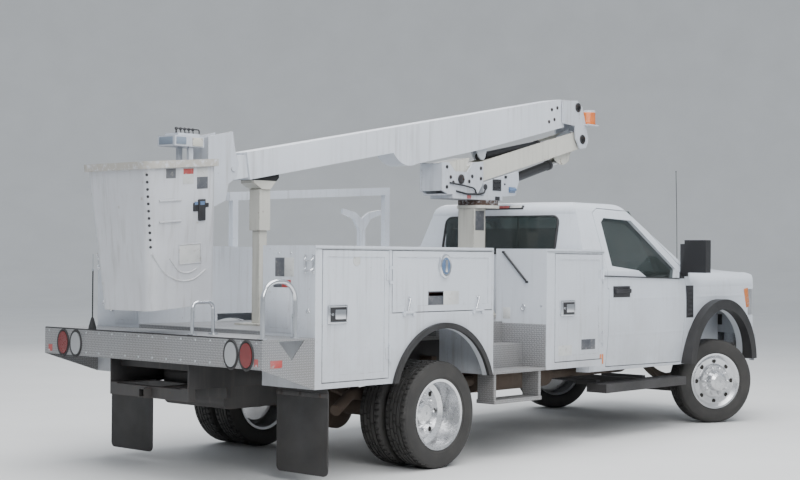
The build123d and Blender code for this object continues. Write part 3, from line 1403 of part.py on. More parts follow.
# Inner boom: the tube that slides out of the upper boom, with a bored tip
INNER_START = 940
with BuildPart() as inner_boom:
    with BuildSketch(UPPER) as tube:
        with Locations(((INNER_START + inner_length) / 2, 0)):
            Rectangle(inner_length - INNER_START, 2 * INNER_HALF_DEPTH)
        with Locations((inner_length, 0)):
            Circle(INNER_HALF_DEPTH)
    extrude(tube.sketch, amount=INNER_HALF_WIDTH, both=True)
    with BuildSketch(UPPER) as hollow:
        with Locations(((INNER_START + inner_length) / 2 - 150, 0)):
            Rectangle(inner_length - INNER_START, 2 * (INNER_HALF_DEPTH - 9))
    extrude(hollow.sketch, amount=INNER_HALF_WIDTH - 9, both=True, mode=Mode.SUBTRACT)
    with BuildSketch(UPPER) as tail:
        with Locations((INNER_START + 60, 0)):
            Rectangle(120, 2 * (UPPER_HALF_DEPTH - UPPER_WALL - PAD_CLEARANCE))
            Rectangle(140, 2 * (INNER_HALF_DEPTH - 9), mode=Mode.SUBTRACT)
    extrude(tail.sketch, amount=INNER_HALF_WIDTH, both=True)
    pin(tip_x, tip_z, (-INNER_HALF_WIDTH - 5, INNER_HALF_WIDTH + 5), 22 + PIN_FIT, Mode.SUBTRACT)
finish("inner_boom", inner_boom)

# Basket: an open tub with a rolled rim, tapered and tilted, and the bracket that carries it
BASKET_TILT = 4.5
BASKET_FOOT = (tip_x - 598, tip_z - 996.4)
BASKET_HEIGHT = 1018
BASKET_WALL = 12
BASKET = Plane(
    origin=(REAR_AXLE_X + BASKET_FOOT[0], 0, BASKET_FOOT[1]),
    x_dir=(cos(radians(BASKET_TILT)), 0, sin(radians(BASKET_TILT))),
    z_dir=(-sin(radians(BASKET_TILT)), 0, cos(radians(BASKET_TILT))),
)
BASKET_BOTTOM = (594, 550)
BASKET_TOP_SIZE = (620, 720)
RIM_HEIGHT = 50
RIM_LIP = 26
BRACKET_INNER = 90
BRACKET_OUTER = 104


def from_tip(points):
    """Points given from the tip pivot, as points from the rear axle."""
    return [(tip_x + x, tip_z + z) for x, z in points]


with BuildPart() as basket_outside:
    with BuildSketch(BASKET):
        RectangleRounded(*BASKET_BOTTOM, 70)
    with BuildSketch(BASKET.offset(BASKET_HEIGHT)):
        RectangleRounded(*BASKET_TOP_SIZE, 70)
    loft()
    with BuildSketch(BASKET.offset(BASKET_HEIGHT - RIM_HEIGHT)):
        RectangleRounded(BASKET_TOP_SIZE[0] + 2 * RIM_LIP, BASKET_TOP_SIZE[1] + 2 * RIM_LIP, 90)
    extrude(amount=RIM_HEIGHT)
with BuildPart() as basket:
    add(basket_outside.part)
    with BuildSketch(BASKET.offset(BASKET_WALL)):
        RectangleRounded(BASKET_BOTTOM[0] - 2 * BASKET_WALL, BASKET_BOTTOM[1] - 2 * BASKET_WALL, 60)
    with BuildSketch(BASKET.offset(BASKET_HEIGHT + 1)):
        RectangleRounded(BASKET_TOP_SIZE[0] - 2 * BASKET_WALL, BASKET_TOP_SIZE[1] - 2 * BASKET_WALL, 60)
    loft(mode=Mode.SUBTRACT)
finish("basket", basket)

with BuildPart() as basket_bracket:
    for side in (-1, 1):
        side_plate(
            (side * BRACKET_INNER, side * BRACKET_OUTER),
            from_tip(
                (
                    (-243, 221.6),
                    (-8, 273.6),
                    (18, 133.6),
                    (52, 43.6),
                    (34, -56.4),
                    (-46, -115.4),
                    (-76, -236.4),
                    (-346, -356.4),
                    (-371, -6.4),
                    (-243, 3.6),
                )
            ),
        )
    block((tip_x - 243, tip_x - 227), (-BRACKET_INNER, BRACKET_INNER), (tip_z + 13.6, tip_z + 213.6))
    block((tip_x - 356, tip_x - 256), (-BRACKET_INNER, BRACKET_INNER), (tip_z - 306.4, tip_z - 286.4))
    pin(tip_x, tip_z, (-BRACKET_OUTER - 8, BRACKET_OUTER + 8), 22)
    add(basket_outside.part, mode=Mode.SUBTRACT)
finish("basket_bracket", basket_bracket)

# Upper controls: a lever box on two legs over the basket's front rim
with BuildPart() as upper_controls:
    block((tip_x - 546, tip_x - 276), (-95, 95), (tip_z + 138.6, tip_z + 213.6))
    block((tip_x - 496, tip_x - 296), (-70, 70), (tip_z + 213.6, tip_z + 233.6))
    for y in (-60, 60):
        block((tip_x - 396, tip_x - 356), (y - 12, y + 12), (tip_z + 3.6, tip_z + 143.6))
    add(basket_outside.part, mode=Mode.SUBTRACT)
finish("upper_controls", upper_controls)
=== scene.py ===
from math import atan2, cos, pi, radians, sin

import bmesh
import bpy
from mathutils import Matrix, Vector


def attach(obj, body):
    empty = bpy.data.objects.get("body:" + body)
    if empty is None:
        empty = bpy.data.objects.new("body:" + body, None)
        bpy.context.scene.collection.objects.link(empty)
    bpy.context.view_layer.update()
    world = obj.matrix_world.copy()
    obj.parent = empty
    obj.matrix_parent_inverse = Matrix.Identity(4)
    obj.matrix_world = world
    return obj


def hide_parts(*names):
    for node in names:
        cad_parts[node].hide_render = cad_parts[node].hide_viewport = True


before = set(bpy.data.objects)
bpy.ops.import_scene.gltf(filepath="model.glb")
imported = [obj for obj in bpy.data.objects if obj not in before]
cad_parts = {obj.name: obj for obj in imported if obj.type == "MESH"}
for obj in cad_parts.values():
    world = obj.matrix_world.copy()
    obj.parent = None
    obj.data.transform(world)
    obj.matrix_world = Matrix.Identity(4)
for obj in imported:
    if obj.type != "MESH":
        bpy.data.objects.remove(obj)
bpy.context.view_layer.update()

# Painted sheet metal of the cab and the service body
# The cab is pressed steel and the body is folded steel sheet, both spot welded and sprayed white.
# Road film lies low down, rain has left runs, and the edges are rubbed and chipped to primer and rust.


def node_group(name, gives, **takes):
    """An empty group of shader nodes with float inputs and outputs."""
    tree = bpy.data.node_groups.new(name, "ShaderNodeTree")
    for key, value in takes.items():
        socket = tree.interface.new_socket(key, in_out="INPUT", socket_type="NodeSocketFloat")
        socket.default_value = value
    for key in gives:
        tree.interface.new_socket(key, in_out="OUTPUT", socket_type="NodeSocketFloat")
    return tree, tree.nodes.new("NodeGroupInput"), tree.nodes.new("NodeGroupOutput")


def put(tree, kind, options, *inputs, **named):
    """Adds one shader node and joins or sets its inputs, in order and by name."""
    made = tree.nodes.new("ShaderNode" + kind)
    for key, value in options.items():
        setattr(made, key, value)
    pairs = [(made.inputs[number], value) for number, value in enumerate(inputs) if value is not None]
    pairs += [(made.inputs[key.replace("_", " ")], value) for key, value in named.items()]
    for socket, value in pairs:
        if isinstance(value, bpy.types.NodeSocket):
            tree.links.new(value, socket)
        else:
            socket.default_value = value
    return made


def maths(tree, operation, *inputs):
    """One calculation on values."""
    return put(tree, "Math", {"operation": operation}, *inputs).outputs[0]


def between(tree, value, low, high, start=0.0, end=1.0):
    """Rises from start to end as value goes from low to high."""
    return put(tree, "MapRange", {}, value, low, high, start, end).outputs[0]


def here(tree):
    """The point's own coordinates in metres, and its x, y and z."""
    point = put(tree, "TexCoord", {}).outputs["Object"]
    parts = put(tree, "SeparateXYZ", {}, point).outputs
    return point, parts[0], parts[1], parts[2]


def stretched(tree, point, x, y, z):
    """Coordinates scaled along each axis."""
    return put(tree, "VectorMath", {"operation": "MULTIPLY"}, point, (x, y, z)).outputs[0]


def noise(tree, point, scale, detail=4.0, rough=0.55):
    """Soft cloudy noise at a scale per metre."""
    return put(tree, "TexNoise", {}, Vector=point, Scale=scale, Detail=detail, Roughness=rough).outputs[0]


def clouds(tree, point, scale, detail, low, high):
    """Cloudy patches: nought where the noise is under low, one where it is over high."""
    return between(tree, noise(tree, point, scale, detail), low, high)


def blend(tree, factor, first, second):
    """Mixes two colours."""
    made = put(tree, "Mix", {"data_type": "RGBA"}, factor)
    for number, value in ((6, first), (7, second)):
        if isinstance(value, bpy.types.NodeSocket):
            tree.links.new(value, made.inputs[number])
        else:
            made.inputs[number].default_value = (*value, 1.0)
    return made.outputs[2]


# Road film: thick low down, thin above, patchy
grime_group, takes, gives = node_group("road_film", ["Mask"], Top=1.5, Amount=1.0)
point, x, y, z = here(grime_group)
low_down = between(grime_group, z, 0.25, takes.outputs["Top"], 1.0, 0.0)
patches = noise(grime_group, point, 2.6, 7.0, 0.62)
specks = noise(grime_group, point, 46.0, 3.0, 0.7)
film = maths(grime_group, "MULTIPLY", low_down, between(grime_group, patches, 0.3, 0.72, 0.25, 1.0))
film = maths(grime_group, "ADD", film, between(grime_group, specks, 0.58, 0.8, 0.0, 0.22))
film = put(grime_group, "Math", {"operation": "MULTIPLY", "use_clamp": True}, film, takes.outputs["Amount"])
grime_group.links.new(film.outputs[0], gives.inputs[0])

# Rain runs: long faint streaks down the upright faces
runs_group, takes, gives = node_group("rain_runs", ["Mask"], Amount=1.0)
point, x, y, z = here(runs_group)
streaks = noise(runs_group, stretched(runs_group, point, 26.0, 26.0, 1.3), 1.0, 4.0, 0.6)
streaks = between(runs_group, streaks, 0.5, 0.74)
places = clouds(runs_group, point, 1.7, 2.0, 0.36, 0.62)
normal = put(runs_group, "NewGeometry", {}).outputs["Normal"]
upright = put(runs_group, "SeparateXYZ", {}, normal).outputs[2]
upright = between(runs_group, maths(runs_group, "ABSOLUTE", upright), 0.2, 0.7, 1.0, 0.0)
runs = maths(runs_group, "MULTIPLY", maths(runs_group, "MULTIPLY", streaks, places), upright)
runs = maths(runs_group, "MULTIPLY", runs, takes.outputs["Amount"])
runs_group.links.new(runs, gives.inputs[0])

# Edge wear: where a rounded-off normal parts from the true one, broken up by noise
wear_group, takes, gives = node_group("edge_wear", ["Mask"], Width=0.004, Amount=1.0)
point, x, y, z = here(wear_group)
soft = put(wear_group, "Bevel", {"samples": 4}, Radius=takes.outputs["Width"]).outputs[0]
true = put(wear_group, "NewGeometry", {}).outputs["True Normal"]
along = put(wear_group, "VectorMath", {"operation": "DOT_PRODUCT"}, soft, true).outputs["Value"]
rubbed = between(wear_group, along, 0.99, 0.8)
broken = between(wear_group, noise(wear_group, point, 17.0, 6.0, 0.7), 0.47, 0.6)
rubbed = maths(wear_group, "MULTIPLY", rubbed, broken)
rubbed = maths(wear_group, "MULTIPLY", rubbed, takes.outputs["Amount"])
wear_group.links.new(rubbed, gives.inputs[0])

# Chips: scattered stone chips and scabs, in two sizes
chips_group, takes, gives = node_group("chips", ["Mask"], Scale=30.0, Amount=1.0)
point, x, y, z = here(chips_group)
wobble = put(chips_group, "TexNoise", {}, Vector=point, Scale=60.0, Detail=3.0).outputs["Color"]
CHIP_WOBBLE = (0.02, 0.02, 0.02)
shifted = put(chips_group, "VectorMath", {"operation": "MULTIPLY_ADD"}, wobble, CHIP_WOBBLE, point)
cells = put(chips_group, "TexVoronoi", {}, Vector=shifted.outputs[0], Scale=takes.outputs["Scale"]).outputs
chosen = put(chips_group, "SeparateColor", {}, cells["Color"]).outputs[0]
near_middle = between(chips_group, cells["Distance"], 0.22, 0.12)
chip = maths(chips_group, "MULTIPLY", near_middle, between(chips_group, chosen, 0.86, 0.9))
crowd = between(chips_group, noise(chips_group, point, 3.1, 3.0), 0.45, 0.62)
chip = maths(chips_group, "MULTIPLY", maths(chips_group, "MULTIPLY", chip, crowd), takes.outputs["Amount"])
chips_group.links.new(chip, gives.inputs[0])

# Sprayed sheet: fine orange peel on slightly wavy metal, as a height
peel_group, takes, gives = node_group("sprayed_sheet", ["Height"])
point, x, y, z = here(peel_group)
wave = noise(peel_group, point, 2.4, 2.0)
peel = noise(peel_group, point, 420.0, 2.0)
height = maths(peel_group, "MULTIPLY_ADD", peel, 0.02, wave)
peel_group.links.new(height, gives.inputs[0])


def effect(tree, group, **settings):
    """Uses a group in a material and gives its output."""
    made = put(tree, "Group", {"node_tree": group})
    for key, value in settings.items():
        made.inputs[key].default_value = value
    return made.outputs[0]


def new_material(name):
    """A material with its tree and its shader."""
    made = bpy.data.materials.new(name)
    made.use_nodes = True
    return made, made.node_tree, made.node_tree.nodes["Principled BSDF"]


ROAD_DUST = (0.20, 0.175, 0.145)
SOOT = (0.035, 0.032, 0.03)
RUST = (0.12, 0.045, 0.018)
CREASED_SIDE_Y = 0.93


def feed(tree, shader, name, value):
    """Links a value to one of the shader's inputs."""
    tree.links.new(value, shader.inputs[name])


def emboss(tree, shader, strength, distance, height):
    """Turns a height into the shader's normal."""
    bump = put(tree, "Bump", {}, Strength=strength, Distance=distance, Height=height)
    feed(tree, shader, "Normal", bump.outputs[0])


def coat_of_paint(name, colour, **looks):
    """Sprayed or brushed paint: colour, road film, runs, worn edges and chips over what is beneath."""
    looks = {
        "rough": 0.32, "metal": 0.0, "coat": 0.25, "top": 1.25, "film": 0.8, "runs": 0.5, "wear": 0.5,
        "width": 0.004, "chips": 0.4, "chip_scale": 40.0, "under": (0.16, 0.12, 0.10), "wavy": 0.12,
        "pale": 0.93, "creases": (),
    } | looks
    made, tree, shader = new_material(name)
    point, x, y, z = here(tree)
    faded = tuple(value * looks["pale"] for value in colour)
    paint = blend(tree, clouds(tree, point, 1.3, 5.0, 0.35, 0.65), colour, faded)
    runs = effect(tree, runs_group, Amount=looks["runs"])
    film = effect(tree, grime_group, Top=looks["top"], Amount=looks["film"])
    bare = maths(tree, "MAXIMUM", effect(tree, wear_group, Width=looks["width"], Amount=looks["wear"]),
                 effect(tree, chips_group, Scale=looks["chip_scale"], Amount=looks["chips"]))
    paint = blend(tree, maths(tree, "MULTIPLY", runs, 0.5), paint, ROAD_DUST)
    paint = blend(tree, maths(tree, "MULTIPLY", film, 0.75), paint, ROAD_DUST)
    feed(tree, shader, "Base Color", blend(tree, bare, paint, looks["under"]))
    rough = maths(tree, "MULTIPLY_ADD", film, 0.4, looks["rough"])
    feed(tree, shader, "Roughness", maths(tree, "MULTIPLY_ADD", bare, 0.25, rough))
    shader.inputs["Metallic"].default_value = looks["metal"]
    shader.inputs["Coat Weight"].default_value = looks["coat"]
    shader.inputs["Coat Roughness"].default_value = 0.15
    height = maths(tree, "SUBTRACT", effect(tree, peel_group), maths(tree, "MULTIPLY", bare, 0.08))
    for level in looks["creases"]:
        beside = maths(tree, "GREATER_THAN", maths(tree, "ABSOLUTE", y), CREASED_SIDE_Y)
        apart = maths(tree, "ABSOLUTE", maths(tree, "SUBTRACT", z, level))
        ridge = between(tree, apart, 0.0, 0.02, 3.0, 0.0)
        height = maths(tree, "ADD", height, maths(tree, "MULTIPLY", beside, ridge))
    emboss(tree, shader, looks["wavy"], 0.01, height)
    return made


def dress(material, *names):
    """Gives CAD nodes a material."""
    for name in names:
        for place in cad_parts[name].material_slots:
            place.material = material


white_paint = coat_of_paint(
    "white_cab_paint", (0.66, 0.70, 0.76), runs=0.35, chips=0.25, creases=(1.209, 0.895),
)
body_paint = coat_of_paint(
    "white_body_paint", (0.63, 0.665, 0.72), rough=0.38, runs=0.7, wear=0.8, chips=0.5, film=0.9,
)
dress(white_paint, "cab_shell", "front_fenders", "hood")
SIDE_NAMES = ("right", "left")
SIDE_SIGNS = (("right", -1), ("left", 1))
for side in SIDE_NAMES:
    dress(body_paint, "compartments_" + side)
    for door in ("rear", "drop", "front"):
        dress(body_paint, "body_" + door + "_door_" + side)
dress(body_paint, "body_middle_door_left", "ladder_rack")

# Cream and grey steelwork of the lift
# Pedestal, lower boom, boom rest, turret, elbow and basket bracket are welded plate, brushed with thick
# cream or grey enamel that has stained, chipped and rusted at its edges.
cream_paint = coat_of_paint(
    "cream_enamel", (0.62, 0.61, 0.55), rough=0.42, top=1.7, film=0.45, runs=1.0, wear=1.0, width=0.008,
    chips=0.9, chip_scale=22.0, under=RUST, coat=0.1, wavy=0.25, pale=0.86,
)
grey_paint = coat_of_paint(
    "grey_enamel", (0.58, 0.61, 0.66), rough=0.4, top=1.9, film=0.3, runs=0.9, wear=0.9, width=0.006,
    chips=0.6, chip_scale=26.0, under=RUST, coat=0.1, wavy=0.2, pale=0.88,
)
dress(cream_paint, "pedestal", "lower_boom")
dress(grey_paint, "elbow", "basket_bracket")


def below(tree, value, edge, soft=0.004):
    """One where value is under an edge."""
    return between(tree, value, edge - soft, edge + soft, 1.0, 0.0)


def masked_paint(name, base, colour, mask_of, rough=0.7, mix_noise=0.0):
    """A copy of a paint with another finish where mask_of(tree, x, y, z) is one."""
    made = base.copy()
    made.name = name
    tree = made.node_tree
    shader = tree.nodes["Principled BSDF"]
    point, x, y, z = here(tree)
    mask = mask_of(tree, x, y, z)
    if mix_noise:
        cloud = noise(tree, point, 24.0, 6.0, 0.7)
        mask = maths(tree, "MULTIPLY", mask, between(tree, cloud, 0.5 - mix_noise, 0.5))
    old = shader.inputs["Base Color"].links[0].from_socket
    feed(tree, shader, "Base Color", blend(tree, mask, old, colour))
    old = shader.inputs["Roughness"].links[0].from_socket
    plain = maths(tree, "MULTIPLY", maths(tree, "SUBTRACT", 1.0, mask), old)
    feed(tree, shader, "Roughness", maths(tree, "MULTIPLY_ADD", mask, rough, plain))
    return made


BEARING_TOP = 2.0645
turret_paint = masked_paint(
    "turret_paint", grey_paint, (0.055, 0.032, 0.022),
    lambda tree, x, y, z: below(tree, z, BEARING_TOP), 0.85, 0.25,
)
dress(turret_paint, "turret")
REST_PAD_FOOT = 2.125
rest_paint = masked_paint(
    "boom_rest_paint", cream_paint, (0.012, 0.012, 0.013),
    lambda tree, x, y, z: between(tree, z, REST_PAD_FOOT - 0.002, REST_PAD_FOOT + 0.002), 0.75,
)
dress(rest_paint, "boom_rest")

# Fibreglass booms and control covers
# The upper boom and its telescoping inner boom are wound glass fibre under gel coat, chalky with weather.
# The control box covers are moulded from the same.
gel_coat = coat_of_paint(
    "weathered_gel_coat", (0.66, 0.69, 0.74), rough=0.45, top=2.2, film=0.12, runs=0.75, wear=0.25,
    chips=0.15, under=(0.35, 0.34, 0.30), coat=0.05, wavy=0.18, pale=0.9,
)
dress(gel_coat, "upper_boom", "inner_boom")
cover_plastic = coat_of_paint(
    "moulded_cover", (0.55, 0.58, 0.63), rough=0.5, top=2.0, film=0.2, runs=0.5, wear=0.4, chips=0.3,
    under=(0.2, 0.19, 0.18), coat=0.0, wavy=0.1,
)
dress(cover_plastic, "control_box", "upper_controls")

# Basket shell
# The basket is one glass fibre moulding with a thick rolled rim; the gel coat is stained by rain and
# rubbed through to tan fibre where boots and tools knock it.
REAR_AXLE_X = -1571.0  # new pieces are drawn in millimetres from the rear axle
BASKET_FOOT = (-1702.0, 0.0, 1200.0)
BASKET_LEAN = radians(4.5)
BASKET_RIM = 968.0


def basket_height(tree, x, z):
    """Height up the leaning basket in metres."""
    foot_x, foot_z = (BASKET_FOOT[0] + REAR_AXLE_X) / 1000, BASKET_FOOT[2] / 1000
    rise = maths(tree, "MULTIPLY_ADD", maths(tree, "SUBTRACT", z, foot_z), cos(BASKET_LEAN), 0.0)
    return maths(tree, "MULTIPLY_ADD", maths(tree, "SUBTRACT", foot_x, x), sin(BASKET_LEAN), rise)


def rim_mask(tree, x, y, z):
    """One on the rolled rim at the basket's top."""
    return between(tree, basket_height(tree, x, z), BASKET_RIM / 1000 - 0.003, BASKET_RIM / 1000)


basket_paint = coat_of_paint(
    "basket_gel_coat", (0.60, 0.615, 0.65), rough=0.42, top=1.9, film=0.4, runs=1.0, wear=1.0, width=0.01,
    chips=0.8, chip_scale=16.0, under=(0.30, 0.26, 0.19), coat=0.1, wavy=0.3, pale=0.85,
)
dress(masked_paint("basket_shell", basket_paint, (0.42, 0.40, 0.36), rim_mask, 0.6, 0.12), "basket")

# Raised tread plate
# The tail shelf, the bed floor and the folded steps are sheets of diamond tread plate with dirt lying
# between the diamonds; the diamonds are painted lighter than the sheet, partly for scuffing and partly as a
# painted highlight.
tread_group, takes, gives = node_group("tread_plate", ["Height"], Pitch=0.034)
point, x, y, z = here(tread_group)
normal = put(tread_group, "NewGeometry", {}).outputs["True Normal"]
facing = put(tread_group, "VectorMath", {"operation": "ABSOLUTE"}, normal).outputs[0]
facing = put(tread_group, "SeparateXYZ", {}, facing).outputs
flat = maths(tread_group, "GREATER_THAN", facing[2], 0.6)
side_on = maths(tread_group, "GREATER_THAN", facing[1], 0.6)


def pick(tree, mask, first, second):
    """First where the mask is nought, second where it is one."""
    return put(tree, "Mix", {"data_type": "FLOAT"}, mask, None, first, second).outputs[0]


across = pick(tread_group, side_on, y, x)
upward = pick(tread_group, flat, z, x)
across = pick(tread_group, flat, across, y)
left = maths(tread_group, "DIVIDE", maths(tread_group, "ADD", across, upward), takes.outputs["Pitch"])
right = maths(tread_group, "DIVIDE", maths(tread_group, "SUBTRACT", across, upward), takes.outputs["Pitch"])


def lozenges(tree, along, over):
    """Thin lozenges along one diagonal, in staggered rows."""
    u = maths(tree, "ABSOLUTE", maths(tree, "SUBTRACT", maths(tree, "FRACT", along), 0.5))
    v = maths(tree, "ABSOLUTE", maths(tree, "SUBTRACT", maths(tree, "FRACT", over), 0.5))
    reach = maths(tree, "MULTIPLY_ADD", v, 3.6, maths(tree, "MULTIPLY", u, 1.15))
    return between(tree, reach, 0.5, 0.32)


one_way = lozenges(tread_group, left, right)
half_left = maths(tread_group, "ADD", left, 0.5)
half_right = maths(tread_group, "ADD", right, 0.5)
other_way = lozenges(tread_group, half_right, half_left)
tread_group.links.new(maths(tread_group, "MAXIMUM", one_way, other_way), gives.inputs[0])


def tread_metal(name, colour, film):
    """Metal sheet with raised diamonds, dirty between; the diamonds are lighter, partly scuffed and partly
    painted highlight.
    """
    made, tree, shader = new_material(name)
    raised = effect(tree, tread_group)
    dirt = effect(tree, grime_group, Top=1.6, Amount=film)
    lying = maths(tree, "MULTIPLY", dirt, between(tree, raised, 0.0, 1.0, 1.0, 0.45))
    # Painted highlight, partly scuffing: the diamonds take the full colour and the sheet between them 0.62
    # of it.
    metal = blend(tree, raised, tuple(value * 0.62 for value in colour), colour)
    feed(tree, shader, "Base Color", blend(tree, lying, metal, ROAD_DUST))
    feed(tree, shader, "Roughness", maths(tree, "MULTIPLY_ADD", lying, 0.45, 0.36))
    feed(tree, shader, "Metallic", between(tree, lying, 0.0, 0.8, 0.85, 0.1))
    emboss(tree, shader, 0.8, 0.0025, raised)
    return made


bright_tread = tread_metal("tread_plate", (0.52, 0.53, 0.55), 0.75)
dress(bright_tread, "tail_shelf", "body_floor")

# Chassis steel, axles, springs and exhaust
# Rails, axles and tanks are black enamel under dried mud; springs and the exhaust have rusted through it.
black_enamel = coat_of_paint(
    "black_enamel", (0.022, 0.022, 0.024), rough=0.5, top=0.95, film=0.35, runs=0.3, wear=0.8, chips=0.6,
    under=RUST, coat=0.0, wavy=0.3, pale=1.4,
)
rusty_steel = coat_of_paint(
    "rusty_steel", (0.075, 0.045, 0.03), rough=0.8, top=0.9, film=0.7, runs=0.4, wear=0.5, chips=1.0,
    chip_scale=14.0, under=(0.17, 0.07, 0.03), coat=0.0, wavy=0.8, pale=0.5,
)
oily_iron = coat_of_paint(
    "oily_iron", (0.05, 0.05, 0.05), rough=0.45, top=1.1, film=0.9, chips=0.5, under=SOOT, coat=0.0,
    wavy=0.5,
)
dress(black_enamel, "frame_rails", "front_axle", "front_knuckle_right", "front_knuckle_left", "fuel_tank",
      "lift_cylinder", "upper_cylinder")
dress(rusty_steel, "leaf_springs", "rear_axle", "exhaust")
dress(oily_iron, "engine")

# Bright metal: bumper, handrails, cylinder rods and wheel covers
# The bumper and handrails are chromed steel, the rods ground and hard chromed, and the wheels bright
# plated discs; all carry water spots and road film.


def bright_metal(name, colour, rough, film, top=0.9, pits=0.35):
    """Plated steel with a thin film of dirt and small rust pits."""
    made, tree, shader = new_material(name)
    point, x, y, z = here(tree)
    dirt = effect(tree, grime_group, Top=top, Amount=film)
    spots = effect(tree, chips_group, Scale=130.0, Amount=pits)
    metal = blend(tree, maths(tree, "MULTIPLY", dirt, 0.85), colour, ROAD_DUST)
    feed(tree, shader, "Base Color", blend(tree, spots, metal, RUST))
    rub = between(tree, noise(tree, point, 60.0, 5.0, 0.7), 0.3, 0.8, 0.0, 0.12)
    dull = maths(tree, "MULTIPLY_ADD", dirt, 0.5, rough)
    feed(tree, shader, "Roughness", maths(tree, "ADD", dull, rub))
    covered = maths(tree, "MAXIMUM", dirt, spots)
    feed(tree, shader, "Metallic", between(tree, covered, 0.1, 0.9, 1.0, 0.1))
    emboss(tree, shader, 0.15, 0.004, noise(tree, point, 7.0, 2.0))
    return made


chrome = bright_metal("chrome_plate", (0.72, 0.74, 0.77), 0.12, 0.45)
rod_chrome = bright_metal("ground_rod", (0.75, 0.76, 0.78), 0.1, 0.05, 0.5, 0.0)
wheel_chrome = bright_metal("wheel_disc", (0.78, 0.79, 0.81), 0.13, 0.4, 0.75)
dress(chrome, "front_bumper", "grab_rails")
dress(rod_chrome, "lift_rod", "upper_rod")
for side in SIDE_NAMES:
    dress(wheel_chrome, "front_wheel_" + side, "rear_wheels_" + side)

# Black rubber and plastic trim
# Arch lips and mud flaps are rubber greyed with dust; steps and grille are grained black plastic.


def black_trim(name, colour, rough, grain, film, top=1.2):
    """Dull black trim with a moulded grain and dust lying on it."""
    made, tree, shader = new_material(name)
    point, x, y, z = here(tree)
    dirt = effect(tree, grime_group, Top=top, Amount=film)
    grey = tuple(value * 2.2 for value in colour)
    faded = blend(tree, clouds(tree, point, 5.0, 5.0, 0.35, 0.7), colour, grey)
    feed(tree, shader, "Base Color", blend(tree, maths(tree, "MULTIPLY", dirt, 0.7), faded, ROAD_DUST))
    feed(tree, shader, "Roughness", maths(tree, "MULTIPLY_ADD", dirt, 0.25, rough))
    pebbles = put(tree, "TexVoronoi", {}, Vector=point, Scale=grain).outputs["Distance"]
    emboss(tree, shader, 0.35, 0.0012, pebbles)
    return made


black_rubber = black_trim("black_rubber", (0.014, 0.014, 0.015), 0.62, 260.0, 0.2)
black_plastic = black_trim("black_plastic", (0.016, 0.016, 0.018), 0.48, 380.0, 0.25)
dress(black_rubber, "arch_flares", "mud_flaps")
dress(black_plastic, "running_boards", "grille")
tyre_rubber = black_trim("tyre_rubber", (0.016, 0.0155, 0.015), 0.7, 500.0, 0.6, 0.7)
for side in SIDE_NAMES:
    dress(tyre_rubber, "front_tyre_" + side, "rear_tyres_" + side)

# Glass
# The cab's panes are sheets of tinted safety glass set in rubber; dried dust lies on them in soft patches.


def tinted_glass(name, colour, dust):
    """Tinted glass with dried dust on it."""
    made, tree, shader = new_material(name)
    point, x, y, z = here(tree)
    film = maths(tree, "MULTIPLY", clouds(tree, point, 6.0, 6.0, 0.35, 0.75), dust)
    feed(tree, shader, "Base Color", blend(tree, film, colour, (0.55, 0.54, 0.50)))
    feed(tree, shader, "Roughness", between(tree, film, 0.0, 1.0, 0.02, 0.5))
    shader.inputs["Metallic"].default_value = 0.0
    shader.inputs["Transmission Weight"].default_value = 0.9
    shader.inputs["IOR"].default_value = 1.45
    return made


cab_tint = tinted_glass("tinted_glass", (0.20, 0.25, 0.25), 0.25)
dress(cab_tint, "cab_glass", "door_glass_right", "door_glass_left")

# Cab interior
# The bench, dash and steering wheel are seen only through the tinted glass; all of them take the grey
# woven cloth that covers the real seat.
cloth, tree, shader = new_material("seat_cloth")
point, x, y, z = here(tree)
weave = put(tree, "TexWave", {"bands_direction": "DIAGONAL"}, Vector=point, Scale=160.0, Distortion=1.0)
weave = weave.outputs[1]
shade = blend(tree, clouds(tree, point, 8.0, 6.0, 0.3, 0.7), (0.07, 0.07, 0.075), (0.13, 0.13, 0.135))
threads = maths(tree, "MULTIPLY", weave, 0.4)
feed(tree, shader, "Base Color", blend(tree, threads, shade, (0.04, 0.04, 0.045)))
feed(tree, shader, "Roughness", between(tree, weave, 0.0, 1.0, 0.95, 0.75))
emboss(tree, shader, 0.4, 0.001, weave)
dress(cloth, "cab_interior")

# Lamps
# Tail lamps are oval moulded lenses in rubber rings: red outside, clear inside. Headlamps are clear. Fine
# upright ribs are moulded into each lens.
CLEAR_LENS_Y = (-0.97, 0.885)
lens, tree, shader = new_material("lamp_lenses")
point, x, y, z = here(tree)
within_left = maths(tree, "LESS_THAN", y, CLEAR_LENS_Y[1])
within_right = maths(tree, "GREATER_THAN", y, CLEAR_LENS_Y[0])
inner = maths(tree, "MULTIPLY", within_left, within_right)
ahead = maths(tree, "GREATER_THAN", x, 0.0)
clear = maths(tree, "MAXIMUM", inner, ahead)
ribs = put(tree, "TexWave", {"bands_direction": "Y", "wave_profile": "TRI"}, Vector=point, Scale=36.0)
ribs = ribs.outputs[1]
feed(tree, shader, "Base Color", blend(tree, clear, (0.17, 0.008, 0.008), (0.34, 0.35, 0.36)))
feed(tree, shader, "Roughness", between(tree, ribs, 0.0, 1.0, 0.08, 0.2))
emboss(tree, shader, 0.5, 0.003, ribs)
shader.inputs["Coat Weight"].default_value = 0.6
dress(lens, "lamps")

# Cab doors: white skin, with black where the mirror and pull stand proud of it
# Each door is a pressed skin with a black moulded tow mirror on a bracket and a black pull handle.
DOOR_TRIM_Y = 1.0125


def black_on_door(tree, x, y, z):
    """One on what stands proud of the door's skin."""
    return maths(tree, "GREATER_THAN", maths(tree, "ABSOLUTE", y), DOOR_TRIM_Y)


door_paint = masked_paint("cab_door_paint", white_paint, (0.014, 0.014, 0.016), black_on_door, 0.5)
dress(door_paint, "cab_door_right", "cab_door_left")

